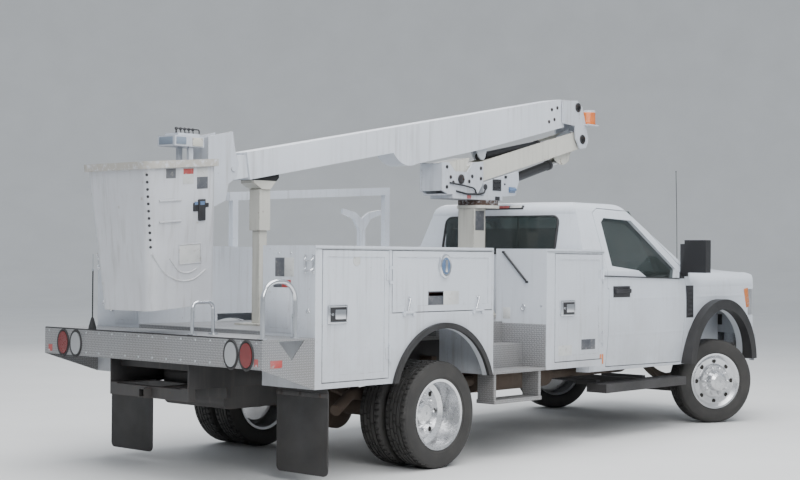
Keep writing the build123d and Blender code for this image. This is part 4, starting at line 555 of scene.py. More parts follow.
# Tyres
# Each tyre is a moulded casing with four grooves round its crown and traction lugs cut across its ribs;
# the sidewall has a raised rim guard and a smooth shoulder.
HUB_Z = 398.0
TYRE_STEPS = 216
LUG_PITCH = 4
LUG_DEPTH = 7.0
TYRE_HALF = (
    # distance from the middle, radius
    (85.5, 253), (86, 264), (92, 271), (97, 279), (101, 280), (103, 288), (107, 301), (112, 325),
    (110.5, 350), (104, 372), (99, 381), (97, 381.5), (88, 392.5), (82, 395), (57, 396.4), (56, 386),
    (47, 386), (46, 396.8), (21, 397.5), (20, 386.5), (11, 386.5), (10, 397.7),
)
CROWN_RADIUS = 391.5
RIBS = ((0, 10, 0), (21, 46, 1), (57, 100, 2))


def finish_piece(bm, name, body, material, sharp=32.0):
    """Turns millimetres from the rear axle into the truck's metres and adds the piece to its body."""
    bmesh.ops.remove_doubles(bm, verts=bm.verts[:], dist=0.01)
    bmesh.ops.translate(bm, verts=bm.verts[:], vec=(REAR_AXLE_X, 0, 0))
    bmesh.ops.scale(bm, verts=bm.verts[:], vec=(0.001, 0.001, 0.001))
    bmesh.ops.recalc_face_normals(bm, faces=bm.faces[:])
    mesh = bpy.data.meshes.new(name)
    bm.to_mesh(mesh)
    bm.free()
    for face in mesh.polygons:
        face.use_smooth = True
    mesh.set_sharp_from_angle(angle=radians(sharp))
    mesh.materials.append(material)
    piece = bpy.data.objects.new(name, mesh)
    bpy.context.scene.collection.objects.link(piece)
    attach(piece, body)
    return piece


def turned(bm, profile, centre, way, steps=48):
    """A turned form: profile is (distance along way, radius) points."""
    centre, way = Vector(centre), Vector(way).normalized()
    out = way.orthogonal().normalized()
    line = [bm.verts.new(centre + way * along + out * radius) for along, radius in profile]
    line += [bm.edges.new(pair) for pair in zip(line, line[1:])]
    bmesh.ops.spin(bm, geom=line, cent=centre, axis=way, angle=2 * pi, steps=steps, use_merge=True)


def tyre(bm, centre, way):
    """One grooved tyre about its axle, with lugs cut across its ribs."""
    fresh = bmesh.new()
    profile = list(TYRE_HALF) + [(-width, radius) for width, radius in reversed(TYRE_HALF)]
    turned(fresh, profile, (0, 0, 0), (0, 0, 1), TYRE_STEPS)
    gaps = []
    for face in fresh.faces:
        middle = face.calc_center_median()
        step = int((atan2(middle.y, middle.x) / (2 * pi) % 1.0) * TYRE_STEPS)
        if min(vert.co.xy.length for vert in face.verts) <= CROWN_RADIUS:
            continue
        for low, high, shift in RIBS:
            count = step + shift * (1 if middle.z > 0 else 3)
            if low <= abs(middle.z) <= high and count % LUG_PITCH == 0:
                gaps.append(face)
    sunk = bmesh.ops.extrude_face_region(fresh, geom=gaps)["geom"]
    for vert in [item for item in sunk if isinstance(item, bmesh.types.BMVert)]:
        vert.co.xy *= 1 - LUG_DEPTH / vert.co.xy.length
    place = Matrix.Translation(centre) @ Vector(way).to_track_quat("Z", "X").to_matrix().to_4x4()
    bmesh.ops.transform(fresh, matrix=place, verts=fresh.verts[:])
    scratch = bpy.data.meshes.new("one_tyre")
    fresh.to_mesh(scratch)
    fresh.free()
    bm.from_mesh(scratch)
    bpy.data.meshes.remove(scratch)


PARKED_STEER = radians(28)
KINGPIN = (4300.0, 905.0)
WHEEL_OFFSET = 45.0
TWIN_Y = (812.0, 1068.0)
TREAD_SHARP = 40.0
tread_rubber, tree, shader = new_material("tread_rubber")
point, x, y, z = here(tree)
mud = between(tree, noise(tree, point, 12.0, 7.0, 0.7), 0.38, 0.75, 0.1, 0.8)
mottle = clouds(tree, point, 4.0, 3.0, 0.3, 0.7)
mottle = blend(tree, mottle, (0.017, 0.0165, 0.016), (0.034, 0.032, 0.03))
thin_mud = maths(tree, "MULTIPLY", mud, 0.3)
feed(tree, shader, "Base Color", blend(tree, thin_mud, mottle, (0.1, 0.095, 0.088)))
feed(tree, shader, "Roughness", maths(tree, "MULTIPLY_ADD", mud, 0.2, 0.62))
fine = noise(tree, point, 300.0, 3.0)
emboss(tree, shader, 0.3, 0.001, fine)
WHEEL_AXES = {}
for side, sign in SIDE_SIGNS:
    outward = Vector((sign * sin(PARKED_STEER), sign * cos(PARKED_STEER), 0))
    hub = Vector((KINGPIN[0], sign * KINGPIN[1], HUB_Z)) + outward * WHEEL_OFFSET
    WHEEL_AXES["front_" + side] = (hub, outward)
    bm = bmesh.new()
    tyre(bm, hub, outward)
    name, body = "front_tread_" + side, "front_wheel_" + side
    piece = finish_piece(bm, name, body, tread_rubber, TREAD_SHARP)
    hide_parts("front_tyre_" + side)
    bm = bmesh.new()
    for y in TWIN_Y:
        tyre(bm, (0, sign * y, HUB_Z), (0, sign, 0))
    WHEEL_AXES["rear_" + side] = (Vector((0, sign * sum(TWIN_Y) / 2, HUB_Z)), Vector((0, sign, 0)))
    name, body = "rear_treads_" + side, "rear_wheels_" + side
    piece = finish_piece(bm, name, body, tread_rubber, TREAD_SHARP)
    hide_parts("rear_tyres_" + side)

# Wheel trims: nuts, nut rings and hand holes
# Each plated steel disc is held by ten capped nuts in a raised ring, and eight round hand holes with rolled
# edges go through it; the inside of each hole is a near-black disc of painted shade.


def around(hub, way, along, radius, angle):
    """A point on a wheel: along its axis, at a radius and an angle."""
    up = Vector((0, 0, 1))
    flat = way.cross(up)
    return hub + way * along + (up * cos(angle) + flat * sin(angle)) * radius


def bar(bm, start, end, radius, sides=16, end_radius=None):
    """A round or many-sided bar between two points, tapered where an end radius is given."""
    start, end = Vector(start), Vector(end)
    way = end - start
    place = Matrix.Translation((start + end) / 2) @ way.to_track_quat("Z", "Y").to_matrix().to_4x4()
    end_radius = radius if end_radius is None else end_radius
    bmesh.ops.create_cone(
        bm, cap_ends=True, segments=sides, radius1=radius, radius2=end_radius, depth=way.length,
        matrix=place,
    )


def capped_nut(bm, place, way, across, tall):
    """A domed six-sided nut on its round collar."""
    place, way = Vector(place), Vector(way).normalized()
    bar(bm, place, place + way * tall * 0.16, across * 0.62, 20, across * 0.58)
    bar(bm, place + way * tall * 0.1, place + way * tall * 0.8, across * 0.5, 6, across * 0.47)
    bar(bm, place + way * tall * 0.8, place + way * tall, across * 0.4, 12, across * 0.16)


NUTS = 10
NUT_RING = ((0, -24), (5, -20), (5, 20), (0, 24))
HAND_HOLES = 8
HOLE_EDGE = ((0.0, 1.24), (3.0, 1.2), (3.4, 1.08), (0.6, 1.0))
WHEEL_TRIMS = (
    # wheel, nut ring radius, nut seat, hole radius, hole seat, hole across
    ("front", 123.0, 79.0, 191.0, 59.6, 21.0),
    ("rear", 142.0, 11.6, 186.0, 11.6, 19.0),
)
# Painted shade for the inside of the hand holes: near black, mottled a little.
hole_shade_finish, tree, shader = new_material("hole_painted_shade")
point, x, y, z = here(tree)
shade_mottle = noise(tree, point, 40.0)
feed(tree, shader, "Base Color", blend(tree, shade_mottle, (0.006, 0.006, 0.006), (0.03, 0.025, 0.02)))
feed(tree, shader, "Roughness", between(tree, noise(tree, point, 90.0), 0.0, 1.0, 0.7, 1.0))
for wheel, nut_radius, nut_seat, hole_radius, hole_seat, hole_across in WHEEL_TRIMS:
    for side in SIDE_NAMES:
        hub, way = WHEEL_AXES[wheel + "_" + side]
        body = "front_wheel_" + side if wheel == "front" else "rear_wheels_" + side
        bm = bmesh.new()
        for number in range(NUTS):
            angle = 2 * pi * (number + 0.5) / NUTS
            capped_nut(bm, around(hub, way, nut_seat, nut_radius, angle), way, 34.0, 40.0)
        ring = [(nut_seat + rise, nut_radius + out) for rise, out in NUT_RING]
        turned(bm, ring, hub, way, 64)
        for number in range(HAND_HOLES):
            angle = 2 * pi * number / HAND_HOLES
            place = around(hub, way, hole_seat, hole_radius, angle)
            turned(bm, [(along, hole_across * size) for along, size in HOLE_EDGE], place, way, 24)
        finish_piece(bm, wheel + "_trim_" + side, body, wheel_chrome)
        # Painted shade: a near-black disc stands in each hand hole for the shade inside the wheel.
        bm = bmesh.new()
        for number in range(HAND_HOLES):
            place = around(hub, way, hole_seat, hole_radius, 2 * pi * number / HAND_HOLES)
            turned(bm, ((0.3, hole_across), (1.6, hole_across * 0.9), (1.2, 0.0)), place, way, 24)
        finish_piece(bm, wheel + "_hole_shade_discs_" + side, body, hole_shade_finish)

# Door latches and drip rails of the service body
# Each compartment door closes with a chromed paddle latch in a pressed bezel, and a folded metal drip rail
# is fixed along the wall above the doors.
BODY_SKIN_Y = 1196.0  # the doors' outer skin
BODY_WALL_Y = 1194.0  # the wall round the doors
DOOR_PANEL_Y = 1192.0  # the sunk middle of a door
LATCH_TABLE = (
    # door, centre x, centre z, has a left twin
    ("rear_door", -1130.0, 1166.0, True),
    ("front_door", 1562.0, 1153.0, True),
    ("middle_door", 752.0, 1160.0, False),
)


def slab(bm, middle, size, bevel=2.0, turn=None):
    """A plate or block with rounded edges about its middle; turn tilts it."""
    place = Matrix.Translation(middle)
    if turn is not None:
        place = place @ turn.to_4x4()
    made = bmesh.ops.create_cube(bm, size=1.0, matrix=place @ Matrix.Diagonal((*size, 1.0)))
    edges = list({edge for vert in made["verts"] for edge in vert.link_edges})
    reach = min(bevel, 0.45 * min(size))
    bmesh.ops.bevel(bm, geom=edges, offset=reach, segments=2, profile=0.5, affect="EDGES", material=-1)


def tube(bm, points, radius, sides=12, bend=0.0):
    """A round tube through points, its corners cut over bend, closed at both ends."""
    points = [Vector(point) for point in points]
    path = [points[0]]
    for before, corner, after in zip(points, points[1:], points[2:]):
        back, ahead = (before - corner).normalized(), (after - corner).normalized()
        reach = min(bend, 0.45 * (before - corner).length, 0.45 * (after - corner).length)
        for step in range(6 if reach > 0 else 1):
            share = step / 5 if reach > 0 else 0.0
            first, last = corner + back * reach, corner + ahead * reach
            path.append(first.lerp(corner, share).lerp(corner.lerp(last, share), share))
    path.append(points[-1])
    rings = []
    out = (path[1] - path[0]).normalized().orthogonal().normalized()
    for index, point in enumerate(path):
        way = (path[min(index + 1, len(path) - 1)] - path[max(index - 1, 0)]).normalized()
        out = (out - way * out.dot(way)).normalized()
        other = way.cross(out)
        rings.append([])
        for step in range(sides):
            turn = 2 * pi * step / sides
            rings[-1].append(bm.verts.new(point + (out * cos(turn) + other * sin(turn)) * radius))
    for first, second in zip(rings, rings[1:]):
        for step in range(sides):
            after = (step + 1) % sides
            bm.faces.new((first[step], first[after], second[after], second[step]))
    bm.faces.new(rings[0])
    bm.faces.new(rings[-1])


def paddle_latch(plate, dish, x, z, side):
    """A bezel plate with a raised lip, a dark dish and a chromed paddle, with its key barrel."""
    skin = side * BODY_SKIN_Y
    slab(plate, (x, skin + side * 6, z), (192, 12, 128), 6)
    for edge in (-1, 1):
        slab(plate, (x + edge * 84, skin + side * 12, z), (11, 12, 118), 4)
        slab(plate, (x, skin + side * 12, z + edge * 54), (176, 12, 11), 4)
    slab(dish, (x, skin + side * 10, z), (162, 12, 100), 4)
    slab(plate, (x + 16, skin + side * 20, z), (100, 7, 66), 3, Matrix.Rotation(side * radians(2), 3, "Z"))
    bar(plate, (x - 58, skin + side * 14, z), (x - 58, skin + side * 21, z), 12, 24, 10)
    slab(dish, (x - 58, skin + side * 21, z), (3, 2, 12), 0.5)


for door, x, z, twin in LATCH_TABLE:
    for side_name, side in SIDE_SIGNS:
        if not twin and side_name == "right":
            continue
        bm, dish = bmesh.new(), bmesh.new()
        paddle_latch(bm, dish, x, z, side)
        body = door + "_" + side_name
        finish_piece(bm, "latch_" + body, body, chrome)
        finish_piece(dish, "latch_dish_" + body, body, black_plastic)
trim_metal = coat_of_paint("body_trim_metal", (0.56, 0.59, 0.62), rough=0.3, metal=0.7, film=0.4, runs=0.3)
DRIP_RAILS = {"right": ((-1335, 590), (1280, 2089)), "left": ((-1335, 2089),)}
for side_name, side in SIDE_SIGNS:
    bm = bmesh.new()
    for x_from, x_to in DRIP_RAILS[side_name]:
        middle = (x_from + x_to) / 2
        slab(bm, (middle, side * BODY_SKIN_Y, 1613), (x_to - x_from, 9, 8), 2)
        slab(bm, (middle, side * (BODY_SKIN_Y + 2), 1610), (x_to - x_from, 4, 4), 1)
    finish_piece(bm, "drip_rail_" + side_name, "chassis", trim_metal)

# Drop door lock and its two bent pull handles
# An oval chromed slam lock sits in the middle of the drop door, with a bent rod handle either side of it.
LOCK_X, LOCK_Z = 6.0, 1496.0
LOCK_TALL = 1.36
PULL_FOOT_Z = 1262
lock_blue = coat_of_paint("lock_face", (0.10, 0.17, 0.30), rough=0.3, film=0.3)
for side_name, side in SIDE_SIGNS:
    bm, face = bmesh.new(), bmesh.new()
    centre, way = Vector((LOCK_X, side * BODY_SKIN_Y, LOCK_Z)), Vector((0, side, 0))
    turned(bm, ((0, 67), (14, 64), (19, 56), (15.5, 49), (15.5, 0)), centre, way, 48)
    turned(face, ((15, 46), (17, 44), (17, 0)), centre, way, 48)
    for mesh in (bm, face):
        for vert in mesh.verts:
            vert.co.z = LOCK_Z + (vert.co.z - LOCK_Z) * LOCK_TALL
    slab(bm, (LOCK_X, side * (BODY_SKIN_Y + 19), LOCK_Z), (26, 7, 92), 3)
    for x, lean in ((-386, -26), (402, -38)):
        skin, out = side * BODY_SKIN_Y, side * (BODY_SKIN_Y + 14)
        low_x, low_z = x + lean, PULL_FOOT_Z - 90
        path = ((x, skin, PULL_FOOT_Z), (x, out, PULL_FOOT_Z), (low_x, out, low_z), (low_x, skin, low_z))
        tube(bm, path, 6.0, 12, 12.0)
        for foot_x, foot_z in ((x, PULL_FOOT_Z), (low_x, low_z + 2)):
            wall, tip = (foot_x, side * BODY_WALL_Y, foot_z), (foot_x, side * (BODY_WALL_Y + 5), foot_z)
            bar(bm, wall, tip, 13, 20, 11)
    finish_piece(bm, "drop_lock_" + side_name, "drop_door_" + side_name, chrome)
    finish_piece(face, "drop_lock_face_" + side_name, "drop_door_" + side_name, lock_blue)

# Blank plates and reflectors on the body sides and tail
# Thin stick-on plates, all bare: pale and dark vinyl squares, red and orange reflectors. Each is a thin
# sheet with eased edges.
SIDE_PLATES = (
    # body, x from, x to, z from, z to, colour name, mirrored to the left side
    ("drop_door", -175, -2, 1176, 1311, "dark", False),
    ("drop_door", -2, 175, 1176, 1311, "pale", False),
    ("drop_door", -170, -8, 1276, 1304, "red", False),
    ("front_door", 1767, 1967, 805, 890, "dark", True),
    ("front_door", 1432, 1634, 735, 851, "pale", True),
    ("front_door", 2029, 2054, 724, 758, "orange", True),
    ("chassis", 2066, 2086, 674, 758, "orange", True),
    ("chassis", -1746, -1639, 826, 876, "red", True),
)
TAIL_PLATES = (
    # face x, y from, y to, z from, z to, colour name
    (-1337, -895, -803, 1421, 1550, "dark"),
    (-1337, -987, -895, 1421, 1550, "pale"),
    (-1337, -870, -786, 1346, 1398, "dark"),
    (-1337, -957, -870, 1346, 1398, "red"),
    (-1337, -828, -790, 1070, 1173, "red"),
    (-1337, -790, -750, 1070, 1173, "dark"),
    (-1337, 803, 987, 1421, 1550, "pale"),
    (-1337, 786, 957, 1346, 1398, "red"),
    (-1818, 1100, 1148, 838, 888, "red"),
    (-1818, -1156, -1120, 838, 888, "red"),
    (1278, -828, -754, 1062, 1154, "pale"),
)


def vinyl(name, colour, rough=0.45):
    """A worn stick-on sheet: its colour fades and scuffs through to pale backing."""
    made, tree, shader = new_material(name)
    point, x, y, z = here(tree)
    scuff = between(tree, noise(tree, point, 34.0, 7.0, 0.72), 0.56, 0.7)
    pale = tuple(0.6 * part + 0.12 for part in colour)
    faded = blend(tree, clouds(tree, point, 6.0, 4.0, 0.3, 0.7), colour, pale)
    feed(tree, shader, "Base Color", blend(tree, scuff, faded, (0.33, 0.32, 0.3)))
    grain = noise(tree, point, 80.0)
    feed(tree, shader, "Roughness", between(tree, grain, 0.2, 0.8, rough - 0.12, rough + 0.2))
    return made


PLATE_SHEETS = {
    "dark": vinyl("dark_sheet", (0.05, 0.055, 0.07)),
    "pale": vinyl("pale_sheet", (0.62, 0.63, 0.62)),
    "red": vinyl("red_sheet", (0.42, 0.025, 0.02)),
    "orange": vinyl("orange_sheet", (0.72, 0.2, 0.03)),
}
PANEL_FROM_X, PANEL_TO_X = -176, 1990
gathered = {}
for body, x_from, x_to, z_from, z_to, colour, mirrored in SIDE_PLATES:
    for side_name, side in SIDE_SIGNS if mirrored else SIDE_SIGNS[:1]:
        if body == "chassis":
            skin, holder = BODY_WALL_Y, body
        else:
            on_panel = x_from > PANEL_FROM_X and x_to < PANEL_TO_X
            skin, holder = DOOR_PANEL_Y if on_panel else BODY_SKIN_Y, body + "_" + side_name
        bm = gathered.setdefault((holder, colour), bmesh.new())
        middle = ((x_from + x_to) / 2, side * (skin + 0.6), (z_from + z_to) / 2)
        slab(bm, middle, (x_to - x_from, 1.6, z_to - z_from), 0.5)
for level, y_from, y_to, z_from, z_to, colour in TAIL_PLATES:
    bm = gathered.setdefault(("chassis", colour), bmesh.new())
    middle = (level - 0.6, (y_from + y_to) / 2, (z_from + z_to) / 2)
    slab(bm, middle, (1.6, y_to - y_from, z_to - z_from), 0.5)
for (holder, colour), bm in gathered.items():
    finish_piece(bm, "plates_" + colour + "_" + holder, holder, PLATE_SHEETS[colour])
bm = bmesh.new()
turned(bm, ((0, 37), (1.6, 36), (1.6, 0)), (-933, -DOOR_PANEL_Y - 0.4, 1531), (0, -1, 0), 48)
finish_piece(bm, "round_plate", "rear_door_right", PLATE_SHEETS["pale"])

# Front wall of the side bay: tread plate, hook ring and strut
# Above the bay step the body's end wall carries a kick plate of tread sheet, a gas strut and a tie ring.
BAY_WALL_X = 1278
RING_RADIUS = 20
bm = bmesh.new()
slab(bm, (BAY_WALL_X - 1.4, -936, 848), (3, 506, 360), 1)
finish_piece(bm, "bay_kick_plate", "chassis", bright_tread)
bm = bmesh.new()
tube(bm, ((1270, -760, 1606), (1270, -987, 1379)), 9.0, 16)
tube(bm, ((1270, -870, 1496), (1270, -1004, 1362)), 5.0, 12)
for y, z in ((-760, 1606), (-1000, 1366)):
    bar(bm, (BAY_WALL_X, y, z), (BAY_WALL_X - 19, y, z), 11, 16, 9)
finish_piece(bm, "bay_strut", "chassis", black_plastic)
bm = bmesh.new()
ring = []
for turn in [pi * step / 10 for step in range(21)]:
    ring.append((BAY_WALL_X - 8, -966 + RING_RADIUS * cos(turn), 1157 + RING_RADIUS * sin(turn)))
tube(bm, ring, 4.0, 10)
bar(bm, (BAY_WALL_X, -966, 1178), (BAY_WALL_X - 10, -966, 1178), 11, 20, 9)
bar(bm, (BAY_WALL_X, -1144, 1174), (BAY_WALL_X - 7, -1144, 1174), 9, 20, 7)
finish_piece(bm, "bay_tie_ring", "chassis", chrome)

# Rear walls of the service body: hatches, locks and hooks
# A pressed steel hatch with a round lock closes each side's end wall, with riveted rope hooks beside it.
END_WALL_X = -1337
HOOK_TOP_X = -1342
HOOK_Y = (1102, 1177)
HOOKS = (
    # top, drop, reach, drawn in
    (1548, 18, 20, 10),
    (1478, 16, 22, 8),
)
for side_name, side in SIDE_SIGNS:
    bm = bmesh.new()
    slab(bm, (-1338, side * 835, 1190), (6, 270, 308), 5)
    slab(bm, (-1341, side * 835, 1190), (4, 206, 244), 3)
    finish_piece(bm, "end_hatch_" + side_name, "chassis", body_paint)
    bm = bmesh.new()
    lock = ((0, 30), (7, 27), (10, 20), (6, 15), (6, 0))
    turned(bm, lock, (END_WALL_X, side * 1004, 1153), (-1, 0, 0), 32)
    slab(bm, (-1346, side * 1004, 1153), (7, 9, 42), 2)
    for y, z in ((837, 1579), (959, 1579), (1116, 1184), (1125, 1196), (1134, 1184)):
        turned(bm, ((0, 9), (3, 7.5), (4.5, 0)), (END_WALL_X, side * y, z), (-1, 0, 0), 16)
    for y in HOOK_Y:
        slab(bm, (-1340, side * y, 1507), (6, 22, 128), 2)
        for z in (1456, 1558):
            turned(bm, ((3, 7), (7, 5), (7, 0)), (END_WALL_X, side * y, z), (-1, 0, 0), 12)
    for top, drop, reach, drawn_in in HOOKS:
        inner, outer = (HOOK_TOP_X, side * HOOK_Y[0], top), (HOOK_TOP_X, side * HOOK_Y[1], top)
        inner_bend = (HOOK_TOP_X - reach, side * (HOOK_Y[0] + drawn_in), top - drop)
        outer_bend = (HOOK_TOP_X - reach, side * (HOOK_Y[1] - drawn_in), top - drop)
        tube(bm, (inner, inner_bend, outer_bend, outer), 6.0, 12, 10.0)
    finish_piece(bm, "end_hooks_" + side_name, "chassis", chrome)

# Tail shelf fittings: lamp rings, edge rubber, marker rod and rivets
# Rubber grommets hold the oval lamps, a rubber strip caps the deck's edge and a springy marker rod stands
# on the left; round-headed rivets hold the tail's tread sheet.
TAIL_FACE_X = -1818.0
TAIL_LAMP_Y = (962, 807, -894, -1045)
TAIL_LAMP_Z = 908
LAMP_WIDE, LAMP_TALL = 0.95, 1.36
MARKER_ROD = (-1790, 649)
bm = bmesh.new()
for y in TAIL_LAMP_Y:
    first = len(bm.verts)
    turned(bm, ((0, 60), (8, 66), (9, 72), (0, 76)), (TAIL_FACE_X, 0, 0), (-1, 0, 0), 48)
    bm.verts.ensure_lookup_table()
    for vert in bm.verts[first:]:
        vert.co.y = y + vert.co.y * LAMP_WIDE
        vert.co.z = TAIL_LAMP_Z + vert.co.z * LAMP_TALL
slab(bm, (TAIL_FACE_X + 6, 0, 1013), (16, 2380, 9), 3)
turned(bm, ((0, 30), (24, 27), (80, 12), (90, 8), (90, 0)), (*MARKER_ROD, 1012), (0, 0, 1), 32)
tube(bm, ((*MARKER_ROD, 1100), (*MARKER_ROD, 1440)), 5.0, 10)
finish_piece(bm, "tail_rubbers", "chassis", black_rubber)
bm = bmesh.new()
for y in range(-1140, 1141, 152):
    for z in (845, 990):
        turned(bm, ((0, 8), (2.6, 7), (4.2, 0)), (TAIL_FACE_X, y, z), (-1, 0, 0), 14)
tube(bm, ((*MARKER_ROD, 1438), (*MARKER_ROD, 1565)), 3.0, 10)
turned(bm, ((0, 9), (16, 9), (18, 5)), (*MARKER_ROD, 1440), (0, 0, 1), 16)
finish_piece(bm, "tail_rivets", "chassis", trim_metal)

# Cab trim: seals, handles, vents, markers, brake lamp and whips
# Rubber seals hold the rear window, moulded cups and pulls are set in the doors, a louvred vent and an
# amber marker sit in each fender, a brake lamp in the roof's rear edge, and whips and wipers on the cowl.
CAB_SIDE_Y = 1010.0
WINDOW_LEAN = 0.208
WINDOW_MIDDLE_Z = 1765
SEAL_CORNER = 62
bm = bmesh.new()
seal = []
for corner_y, corner_z, start in ((575, 1865, 0.0), (-575, 1865, 0.5), (-575, 1665, 1.0), (575, 1665, 1.5)):
    for step in range(5):
        turn = pi * (start + step / 8)
        y, z = corner_y + SEAL_CORNER * cos(turn), corner_z + SEAL_CORNER * sin(turn)
        seal.append((2179 + WINDOW_LEAN * (z - WINDOW_MIDDLE_Z), y, z))
tube(bm, seal + seal[:1], 12.0, 12)
for edge_y in (-212, 212):
    slab(bm, (2186, edge_y, WINDOW_MIDDLE_Z), (10, 16, 330), 4)
finish_piece(bm, "rear_window_seal", "chassis", black_rubber)
for side_name, side in SIDE_SIGNS:
    bm = bmesh.new()
    slab(bm, (2640, side * CAB_SIDE_Y, 1270), (262, 6, 98), 3)
    slab(bm, (2640, side * 1032, 1276), (236, 12, 34), 5)
    slab(bm, (2536, side * 1022, 1276), (30, 26, 40), 6)
    slab(bm, (2744, side * 1022, 1276), (30, 26, 40), 6)
    belt_tilt = Matrix.Rotation(radians(1.3), 3, "Y")
    slab(bm, (2905, side * (CAB_SIDE_Y + 1), 1396), (1380, 10, 11), 3, belt_tilt)
    finish_piece(bm, "door_pull_" + side_name, "cab_door_" + side_name, black_plastic)
    bm = bmesh.new()
    bar(bm, (2744, side * 1030, 1276), (2744, side * 1036.5, 1276), 9, 20, 8)
    finish_piece(bm, "door_key_" + side_name, "cab_door_" + side_name, chrome)
    bm = bmesh.new()
    slab(bm, (3784, side * 1008, 1164), (128, 8, 300), 3)
    for number in range(7):
        tilt = Matrix.Rotation(side * radians(24), 3, "X")
        slab(bm, (3784, side * 1013, 1050 + 38 * number), (106, 5, 24), 2, tilt)
    finish_piece(bm, "fender_vent_" + side_name, "chassis", black_plastic)
    bm = bmesh.new()
    slab(bm, (4868, side * 1005, 1183), (72, 9, 190), 4, Matrix.Rotation(radians(-10), 3, "Y"))
    for number in range(8):
        slab(bm, (4868 - 4 * (number - 3.5), side * 1009, 1183 + 22 * (number - 3.5)), (60, 3, 4), 1)
    amber = vinyl("marker_" + side_name, (0.62, 0.17, 0.02), 0.2)
    finish_piece(bm, "fender_marker_" + side_name, "chassis", amber)
BRAKE_LENSES = (
    # name, y, width, colour
    ("middle", 0, 150, (0.4, 0.02, 0.015)),
    ("near", -152, 130, (0.6, 0.6, 0.58)),
    ("far", 152, 130, (0.6, 0.6, 0.58)),
)
roof_tilt = Matrix.Rotation(radians(35), 3, "Y")
bm = bmesh.new()
slab(bm, (2237, 0, 2011), (16, 470, 38), 5, roof_tilt)
finish_piece(bm, "brake_lamp_frame", "chassis", black_plastic)
for name, y, width, colour in BRAKE_LENSES:
    bm = bmesh.new()
    slab(bm, (2231, y, 2015), (12, width, 26), 3, roof_tilt)
    brake_lens = vinyl("brake_lens_" + name, colour, 0.2)
    finish_piece(bm, "brake_lamp_" + name, "chassis", brake_lens)
bm = bmesh.new()
for x, y, foot, top in ((3742, -895, 1500, 2374), (3742, 895, 1500, 1990)):
    turned(bm, ((-4, 24), (6, 22), (16, 13), (40, 6), (44, 0)), (x, y, foot), (0, 0, 1), 24)
    tube(bm, ((x, y, foot + 30), (x - 8, y, (foot + top) / 2), (x - 26, y, top)), 3.2, 8)
    bar(bm, (x - 26, y, top - 2), (x - 26.4, y, top + 10), 5, 10, 4)
for y in (-420, 250):
    tube(bm, ((3845, y - 120, 1498), (3760, y + 100, 1532), (3650, y + 330, 1604)), 8.0, 8)
    slab(bm, (3600, y + 120, 1640), (14, 560, 8), 3, roof_tilt)
finish_piece(bm, "whips_and_wipers", "chassis", black_plastic)

# Basket fittings: rivets, blank plates, step ledges, moulded ridge and latch
# The basket's seam is riveted down its rear right corner; ledges and a swept ridge are moulded into the
# shell, and bare vinyl plates and a rubber latch are fixed to the outer face.
BASKET_U = Vector((cos(BASKET_LEAN), 0, sin(BASKET_LEAN)))
BASKET_FLARE = 85.0 / 1018.0
BASKET_HALF_WIDTH = 275


def basket_face(side):
    """The face's own axes: along it, outward and up it."""
    rise = Vector((-sin(BASKET_LEAN), side * BASKET_FLARE, cos(BASKET_LEAN))).normalized()
    out = BASKET_U.cross(rise) * -side
    return Matrix((BASKET_U, out, rise)).transposed()


def on_basket(along, rise, out, side):
    """A place on the basket's right or left face."""
    foot = Vector((BASKET_FOOT[0], side * (BASKET_HALF_WIDTH + BASKET_FLARE * rise), BASKET_FOOT[2]))
    up = Vector((-sin(BASKET_LEAN), 0, cos(BASKET_LEAN)))
    return foot + BASKET_U * along + up * rise + basket_face(side).col[1] * out


BASKET_SHEETS = (
    # along from, along to, rise from, rise to, colour name
    (-162, -77, 896, 962, "dark"),
    (-14, 84, 852, 962, "pale"),
    (-10, 80, 920, 958, "red"),
    (112, 211, 814, 897, "dark"),
    (112, 211, 897, 962, "pale"),
    (-40, 143, 302, 435, "pale"),
)
gathered = {}
for low, high, foot, top, colour in BASKET_SHEETS:
    bm = gathered.setdefault(colour, bmesh.new())
    place = on_basket((low + high) / 2, (foot + top) / 2, 0.8 if colour != "red" else 1.6, -1)
    slab(bm, place, (high - low, 1.8, top - foot), 0.6, basket_face(-1))
for colour, bm in gathered.items():
    finish_piece(bm, "basket_sheets_" + colour, "platform", PLATE_SHEETS[colour])
BASKET_RIDGES = (
    ((-282, 391), (-180, 250), (-60, 190), (20, 180), (100, 192), (190, 246)),
    ((-130, 350), (-60, 262), (0, 236), (60, 240), (110, 262)),
)
BASKET_FRAME = (
    # along, rise, length, tall
    (52, 302, 197, 8),
    (52, 436, 197, 8),
    (-46, 369, 8, 142),
    (149, 369, 8, 142),
)
for side_name, side in SIDE_SIGNS:
    bm = bmesh.new()
    for foot in (746, 602):
        slab(bm, on_basket(-126, foot, 3, side), (195, 16, 14), 5, basket_face(side))
    for ridge in BASKET_RIDGES:
        tube(bm, [on_basket(along, rise, 0, side) for along, rise in ridge], 7.0, 10, 60.0)
    for along, rise, length, tall in BASKET_FRAME:
        slab(bm, on_basket(along, rise, 2, side), (length, 7, tall), 2, basket_face(side))
    finish_piece(bm, "basket_ridges_" + side_name, "platform", basket_paint)
bm = bmesh.new()
slab(bm, on_basket(153, 668, 6, -1), (64, 14, 150), 5, basket_face(-1))
slab(bm, on_basket(100, 690, 4, -1), (46, 10, 60), 4, basket_face(-1))
slab(bm, on_basket(196, 700, 5, -1), (40, 10, 30), 4, basket_face(-1))
SEAM_RIVETS = 11
SEAM_PLACES = (Vector((-2072, -317, 2100)), Vector((-2015, -293, 1613)))
SEAM_WAYS = (Vector((-0.85, -0.5, -0.12)), Vector((-0.66, -0.74, -0.12)))
for number in range(SEAM_RIVETS):
    share = number / (SEAM_RIVETS - 1)
    place = SEAM_PLACES[0].lerp(SEAM_PLACES[1], share)
    way = SEAM_WAYS[0].lerp(SEAM_WAYS[1], share).normalized()
    turned(bm, ((-5, 10), (2, 10), (5, 6), (6, 0)), place, way, 16)
finish_piece(bm, "basket_latch_and_rivets", "platform", black_plastic)
bm = bmesh.new()
slab(bm, on_basket(100, 716, 9, -1), (30, 4, 22), 1.5, basket_face(-1))
slab(bm, on_basket(153, 716, 13, -1), (40, 3, 26), 1.2, basket_face(-1))
